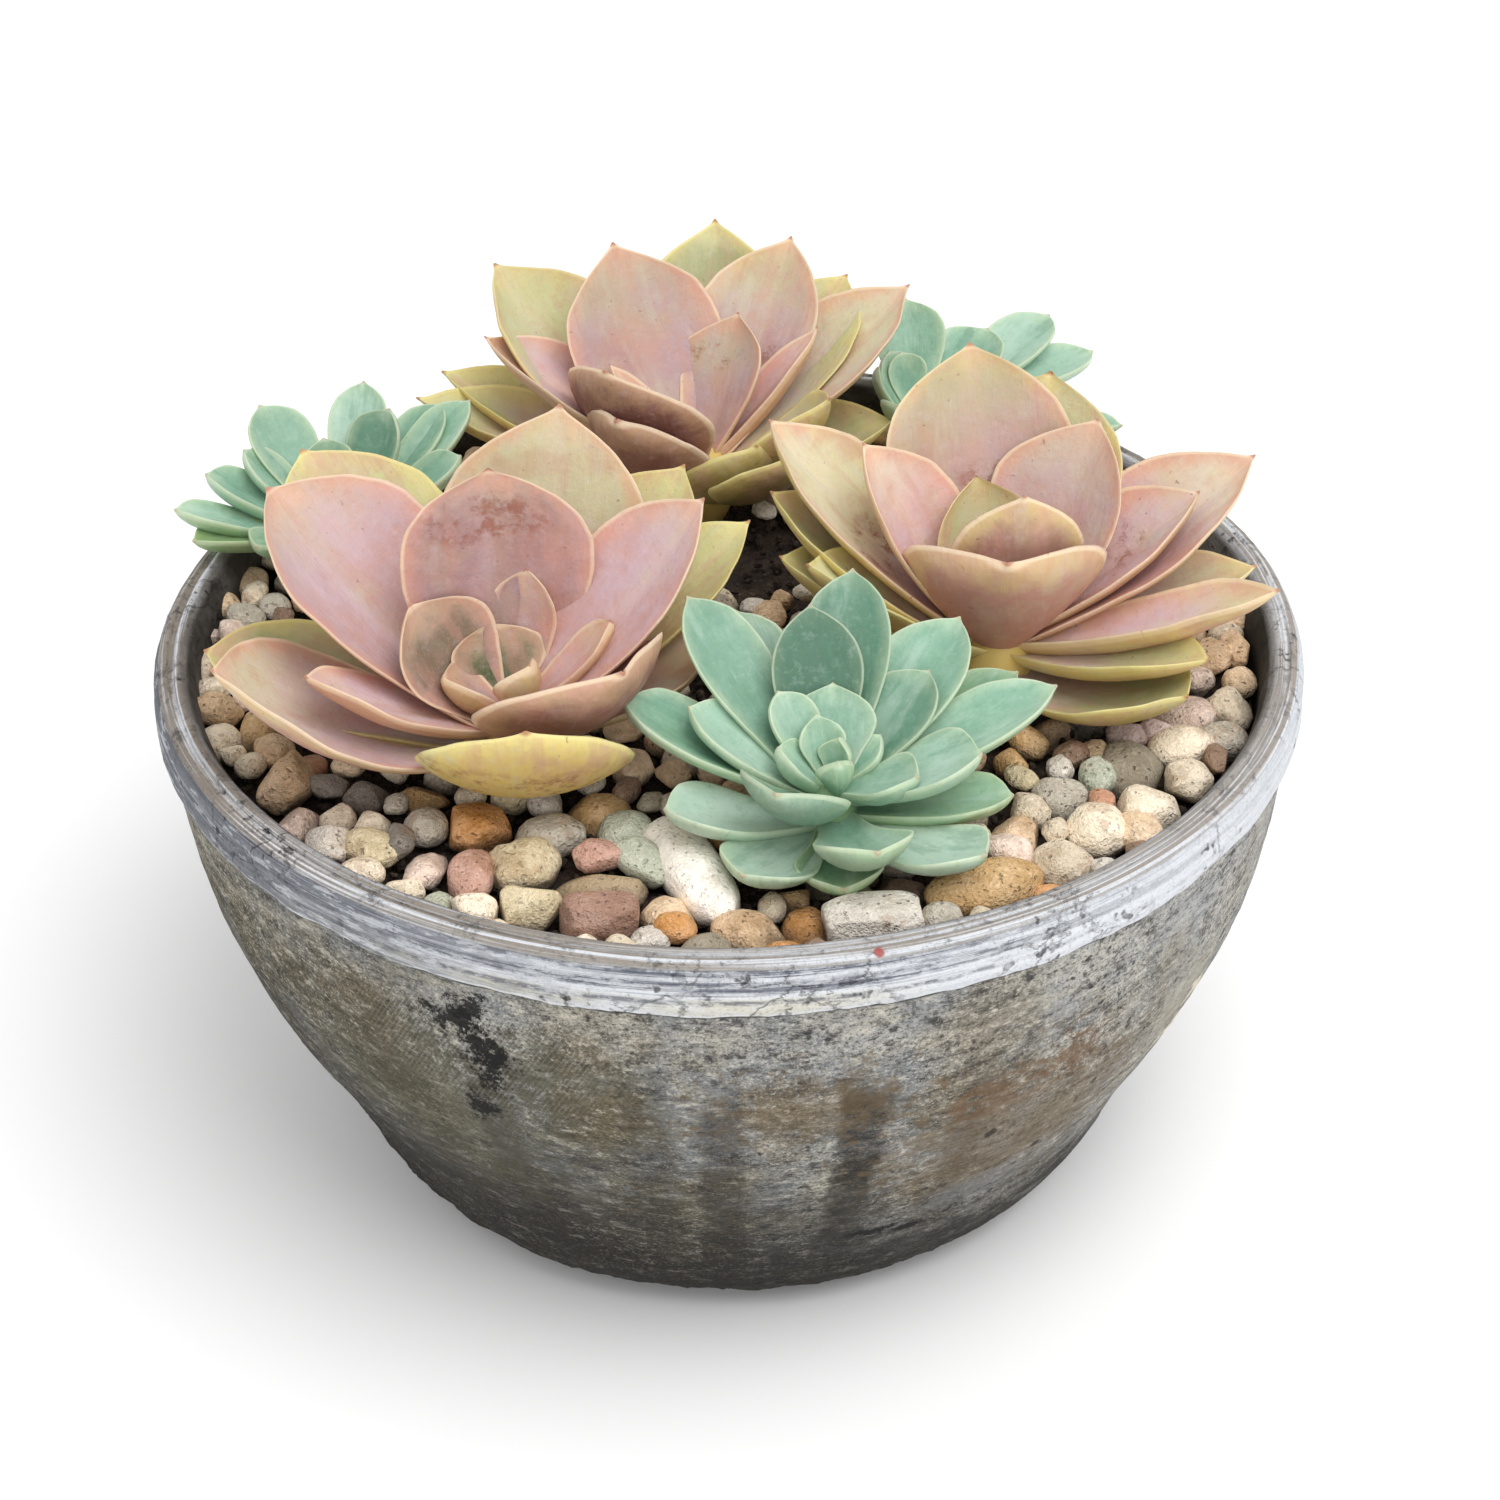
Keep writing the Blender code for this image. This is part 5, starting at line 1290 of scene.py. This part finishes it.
def makeClayMaterial():
    material, tree, shader, place = newMaterial("agedClay", 0.9)
    x, y, z = parts(tree, place)
    height = surfaceField(tree, "turnedHeight")
    radius = (x * x + y * y).calc("SQRT")
    masks = useGroup(tree, mottle, {
        "Place": place, "Patch Scale": 44.0, "Grain Scale": 560.0, "Pit Scale": 330.0})
    # the turning lines run round the bowl, so this place hardly changes that way
    turnedPlace = joined(tree, x * 0.32, y * 0.32, (z - radius) * 26.0)
    lines = noise(tree, turnedPlace, 30.0, 4.0, 0.65)
    scratches = noise(tree, joined(tree, x, y, (z - radius * 0.4) * 5.0), 105.0, 4.0, 0.7)
    grain = noise(tree, joined(tree, x, y, z * 1.2), 1050.0, 3.0, 0.85)
    coarse = noise(tree, joined(tree, x, y, z * 2.2), 170.0, 6.0, 0.8)
    smears = noise(tree, joined(tree, x * 0.5, y * 0.5, (z - radius * 0.5) * 2.4), 95.0, 6.0, 0.78)
    falls = noise(tree, joined(tree, x * 1.5, y * 1.5, z * 0.3), 62.0, 4.0, 0.6)
    broad = noise(tree, place, 24.0, 5.0, 0.62)
    other = noise(tree, joined(tree, y, z, x), 30.0, 5.0, 0.62)

    face = mix(tree, broad.between(0.4, 0.6), clay["warm"], clay["cool"])
    face = mix(tree, other.between(0.48, 0.68) * 0.6, face, clay["pale"])
    lowered = z + (broad - 0.5) * 0.06
    shaded = (1.0 - (lowered + x * 0.35).between(0.0, 0.1)) * 0.92 + (1.0 - x.between(-0.1, 0.0)) * 0.16
    face = mix(tree, shaded, face, mix(tree, other.between(0.4, 0.6), clay["dark"], clay["olive"]))
    # painted light: the right side and the upper wall are paler, partly the clay's own paler tone
    lit = x.between(0.0, 0.11) * 0.34 + lowered.between(0.094, 0.118) * 0.2
    face = mix(tree, lit, face, clay["chalkAndLight"])
    # painted shade: the pale marks fade towards the bottom and the left
    lift = 0.35 + (z + x * 0.2).between(0.015, 0.1) * 0.65
    face = coat(tree, face, clay, [
        (smears.between(0.52, 0.64) * 0.5 * lift, "pale"),
        ((1.0 - smears.between(0.36, 0.48)) * 0.65, "dark"),
        ((1.0 - falls.between(0.34, 0.5)) * (1.0 - z.between(0.05, 0.1)) * 0.5, "dark"),
        (falls.between(0.55, 0.68) * 0.34, "cool"),
        (scratches.between(0.54, 0.7) * 0.28 * lift, "pale"),
        ((1.0 - scratches.between(0.32, 0.46)) * 0.32, "dark")])
    # painted shade: the low wall darkens towards the foot, in the colour of the dark runs
    sunk = 1.0 - (z + x * 0.2 + (smears - 0.5) * 0.05).between(0.018, 0.064)
    face = coat(tree, face, clay, [
        (sunk * 0.85, "runAndShade"),
        ((1.0 - coarse.between(0.4, 0.48)) * 0.62, "grainDark"),
        (coarse.between(0.54, 0.62) * 0.5 * lift, "grainLight")])
    gritty = 0.35 + other.between(0.36, 0.6) * 0.5
    face = mix(tree, grain.between(0.54, 0.64) * 0.7 * gritty * lift, face, clay["grainLight"])
    for degrees, strength in clay["darkRuns"]:
        ran = runDown(tree, x, y, z, degrees) * (0.6 + smears.between(0.4, 0.6) * 0.4)
        face = mix(tree, ran * strength, face, clay["runAndShade"])
    # darker towards the foot
    footDarkening = 1.0 - (z + (smears - 0.5) * 0.04).between(0.006, 0.034)
    face = mix(tree, footDarkening * 0.75, face, clay["foot"])

    band = (height + (coarse - 0.5) * 0.0012).between(0.1216, 0.1221)
    upper = height.between(0.1262, 0.1296)
    bandTone = mix(tree, lines.between(0.5, 0.58) * (0.15 + upper * 0.85), clay["band"], clay["bandLine"])
    front = (y * -1.0).between(0.085, 0.115) * (1.0 - x.between(0.01, 0.05))
    cream = broad.between(0.4, 0.58) * (1.0 - height.between(0.1262, 0.128)) * front
    bandTone = mix(tree, cream * 0.6, bandTone, clay["bandCream"])
    # painted shade on the band under the lip, and the grooves darker along their lines
    upperBand = height.between(0.1296, 0.1306) * (0.1 + smears.between(0.44, 0.58) * 0.35)
    bandTone = mix(tree, upperBand, bandTone, clay["bandShade"])
    for grooveHeight in clay["grooves"]:
        groove = 1.0 - (height - grooveHeight).size().between(0.0002, 0.0009)
        bandTone = mix(tree, groove * (0.15 + coarse.between(0.44, 0.56) * 0.6), bandTone, clay["bandLine"])
    scraped = (1.0 - scratches.between(0.34, 0.42)) * (0.42 - x.between(0.03, 0.08) * 0.34)
    # painted light: the band is paler on the right, partly its own paler tone
    bandTone = coat(tree, bandTone, clay, [
        (scraped, "bandLine"),
        (x.between(0.03, 0.11) * 0.72, "band")])
    # painted shade: the band is darker on the left, partly its own duller tone
    dullAndShade = (1.0 - (x + (smears - 0.5) * 0.24).between(-0.112, 0.0)) * 0.88
    bandTone = mix(tree, dullAndShade, bandTone, clay["bandDullAndShade"])
    streaks = scratches.between(0.53, 0.6) * 0.45 + lines.between(0.56, 0.62) * 0.3
    bandTone = mix(tree, streaks, bandTone, clay["band"])
    # the clay is pale where the band's edge has chipped
    paleEdge = (1.0 - (height - 0.1226).size().between(0.0004, 0.0009)) * smears.between(0.38, 0.5)
    bandTone = mix(tree, paleEdge * 0.75, bandTone, clay["band"])
    face = mix(tree, band * 0.92, face, bandTone)
    onTop = height.between(0.1326, 0.1338)
    lipTone = mix(tree, lines.between(0.46, 0.62), clay["lip"], clay["band"])
    lipTone = coat(tree, lipTone, clay, [
        ((1.0 - coarse.between(0.34, 0.48)) * 0.7, "grainDark"),
        ((1.0 - radius.between(0.1274, 0.1294)) * 0.7, "inside")])
    face = mix(tree, onTop * 0.85, face, lipTone)
    inside = (1.0 - radius.between(0.1262, 0.1274)) * height.between(0.1, 0.11)
    face = mix(tree, inside, face, mix(tree, masks["Patches"], clay["inside"], clay["dark"]))

    # hairline cracks, the shadow under the band and small pits; the noise bends the cracks
    bend = joined(tree, (coarse - 0.5) * 0.012, (broad - 0.5) * 0.03, (coarse - 0.5) * 0.012)
    cells = put(tree, "ShaderNodeTexVoronoi", {"Vector": vectorMath(tree, "ADD", place, bend), "Scale": 62.0},
                feature="DISTANCE_TO_EDGE")
    cracks = (1.0 - Field(tree, cells.outputs["Distance"]).between(0.004, 0.016)) * other.between(0.48, 0.56)
    face = mix(tree, cracks * band * (0.5 - x.between(0.0, 0.06) * 0.3), face, clay["crackAndShadow"])
    # painted shadow under the band
    underBand = (1.0 - (height - 0.1216).size().between(0.0002, 0.0008)) * coarse.between(0.36, 0.5)
    face = mix(tree, underBand * 0.85, face, clay["crackAndShadow"])
    pits = masks["Pits"] * (other.between(0.4, 0.6) + (1.0 - z.between(0.02, 0.06)) * 0.6).between(0.0, 1.0)
    face = coat(tree, face, clay, [
        (pits * 0.8, "crackAndShadow"),
        ((1.0 - grain.between(0.38, 0.47)) * (0.8 - band * 0.5) * gritty, "grainDark")])
    # faint comb lines, left by the tool that smoothed the wall
    combed = useGroup(tree, spot, {
        "Place": place, "Middle": (-0.05, -0.118, 0.1), "Across": 0.04, "Tall": 0.024, "Ragged": 1.2})["Mask"]
    comb = ((x * 0.9 - y * 0.43 - z * 0.6) * 5400.0).calc("SINE") * combed
    face = mix(tree, comb.between(0.2, 1.0) * 0.16, face, clay["grainLight"])
    for middle, across, tall, ragged, tone, strength in bowlMarks:
        marks = useGroup(tree, spot, {
            "Place": place, "Middle": [value * mm for value in middle], "Across": across * mm,
            "Tall": tall * mm, "Ragged": ragged * 1.5})
        face = mix(tree, marks["Mask"] * strength, face, clay[tone])
    paint(tree, shader, face, 0.78 + grain * 0.2)
    shader.inputs["Specular IOR Level"].default_value = 0.3
    relief = grain * 0.5 + coarse * 0.8 + lines * 0.5 + scratches * 0.5 - cracks * band - pits + comb * 0.15
    bump(tree, shader, relief, 0.8, 0.0009)
    return material


def makeBowl():
    item = turned("bowl_fine", bowlProfile(), bowl["sides"])
    growMesh(item, clayTree(), {
        **bowl["wear"], "Band Foot": bowl["height"] - bowl["bandHeight"], "Seed": bowl["seed"],
        "Clay Material": makeClayMaterial()})
    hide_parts("bowl")
    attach(item, "root")
    return item


bowlPiece = makeBowl()
print("bowl turned:", len(bowlPiece.data.polygons), "faces")

# Floor, light and camera

stage = {
    "floorSize": 8.0, "floorTone": (0.96, 0.96, 0.96, 1), "skyStrength": 0.84, "aim": (0, 0, 0.1),
    "lights": {"key": ((0.7, -0.8, 2.2), 1.8, 31.0), "fill": ((0.3, -2.2, 0.55), 1.6, 7.0)},
}


def makeFloor():
    bpy.ops.mesh.primitive_plane_add(size=stage["floorSize"])
    floor = bpy.context.object
    floor.name = "floor"
    material, _, shader, _ = newMaterial("floorPaper", 0.9)
    shader.inputs["Base Color"].default_value = stage["floorTone"]
    floor.data.materials.append(material)


def makeLight(name, place, size, strength):
    lamp = bpy.data.lights.new(name, "AREA")
    lamp.shape = "DISK"
    lamp.size = size
    lamp.energy = strength
    item = bpy.data.objects.new(name, lamp)
    item.location = place
    item.rotation_euler = (Vector(stage["aim"]) - Vector(place)).to_track_quat("-Z", "Y").to_euler()
    bpy.context.scene.collection.objects.link(item)


def makeSky():
    world = bpy.data.worlds.new("softSky")
    world.use_nodes = True
    background = world.node_tree.nodes["Background"]
    background.inputs["Color"].default_value = (1, 1, 1, 1)
    background.inputs["Strength"].default_value = stage["skyStrength"]
    bpy.context.scene.world = world


camera = {
    "distance": 700 * mm, "tilt": 33.97, "target": (4.7 * mm, 0, 96.05 * mm), "roll": -0.46, "lens": 68.86,
}


def makeCamera():
    lens = bpy.data.cameras.new("camera")
    lens.lens = camera["lens"]
    lens.sensor_width = 36
    item = bpy.data.objects.new("camera", lens)
    target, tilt = Vector(camera["target"]), math.radians(camera["tilt"])
    item.location = target + Vector((0, -math.cos(tilt), math.sin(tilt))) * camera["distance"]
    aim = Matrix.Rotation(math.pi / 2 - tilt, 3, "X") @ Matrix.Rotation(math.radians(camera["roll"]), 3, "Z")
    item.rotation_euler = aim.to_euler()
    bpy.context.scene.collection.objects.link(item)
    bpy.context.scene.camera = item


makeFloor()
makeSky()
for name, (place, size, strength) in stage["lights"].items():
    makeLight(name, place, size, strength)
makeCamera()
bpy.context.scene.view_settings.view_transform = "Standard"
print("stage, light and camera set")
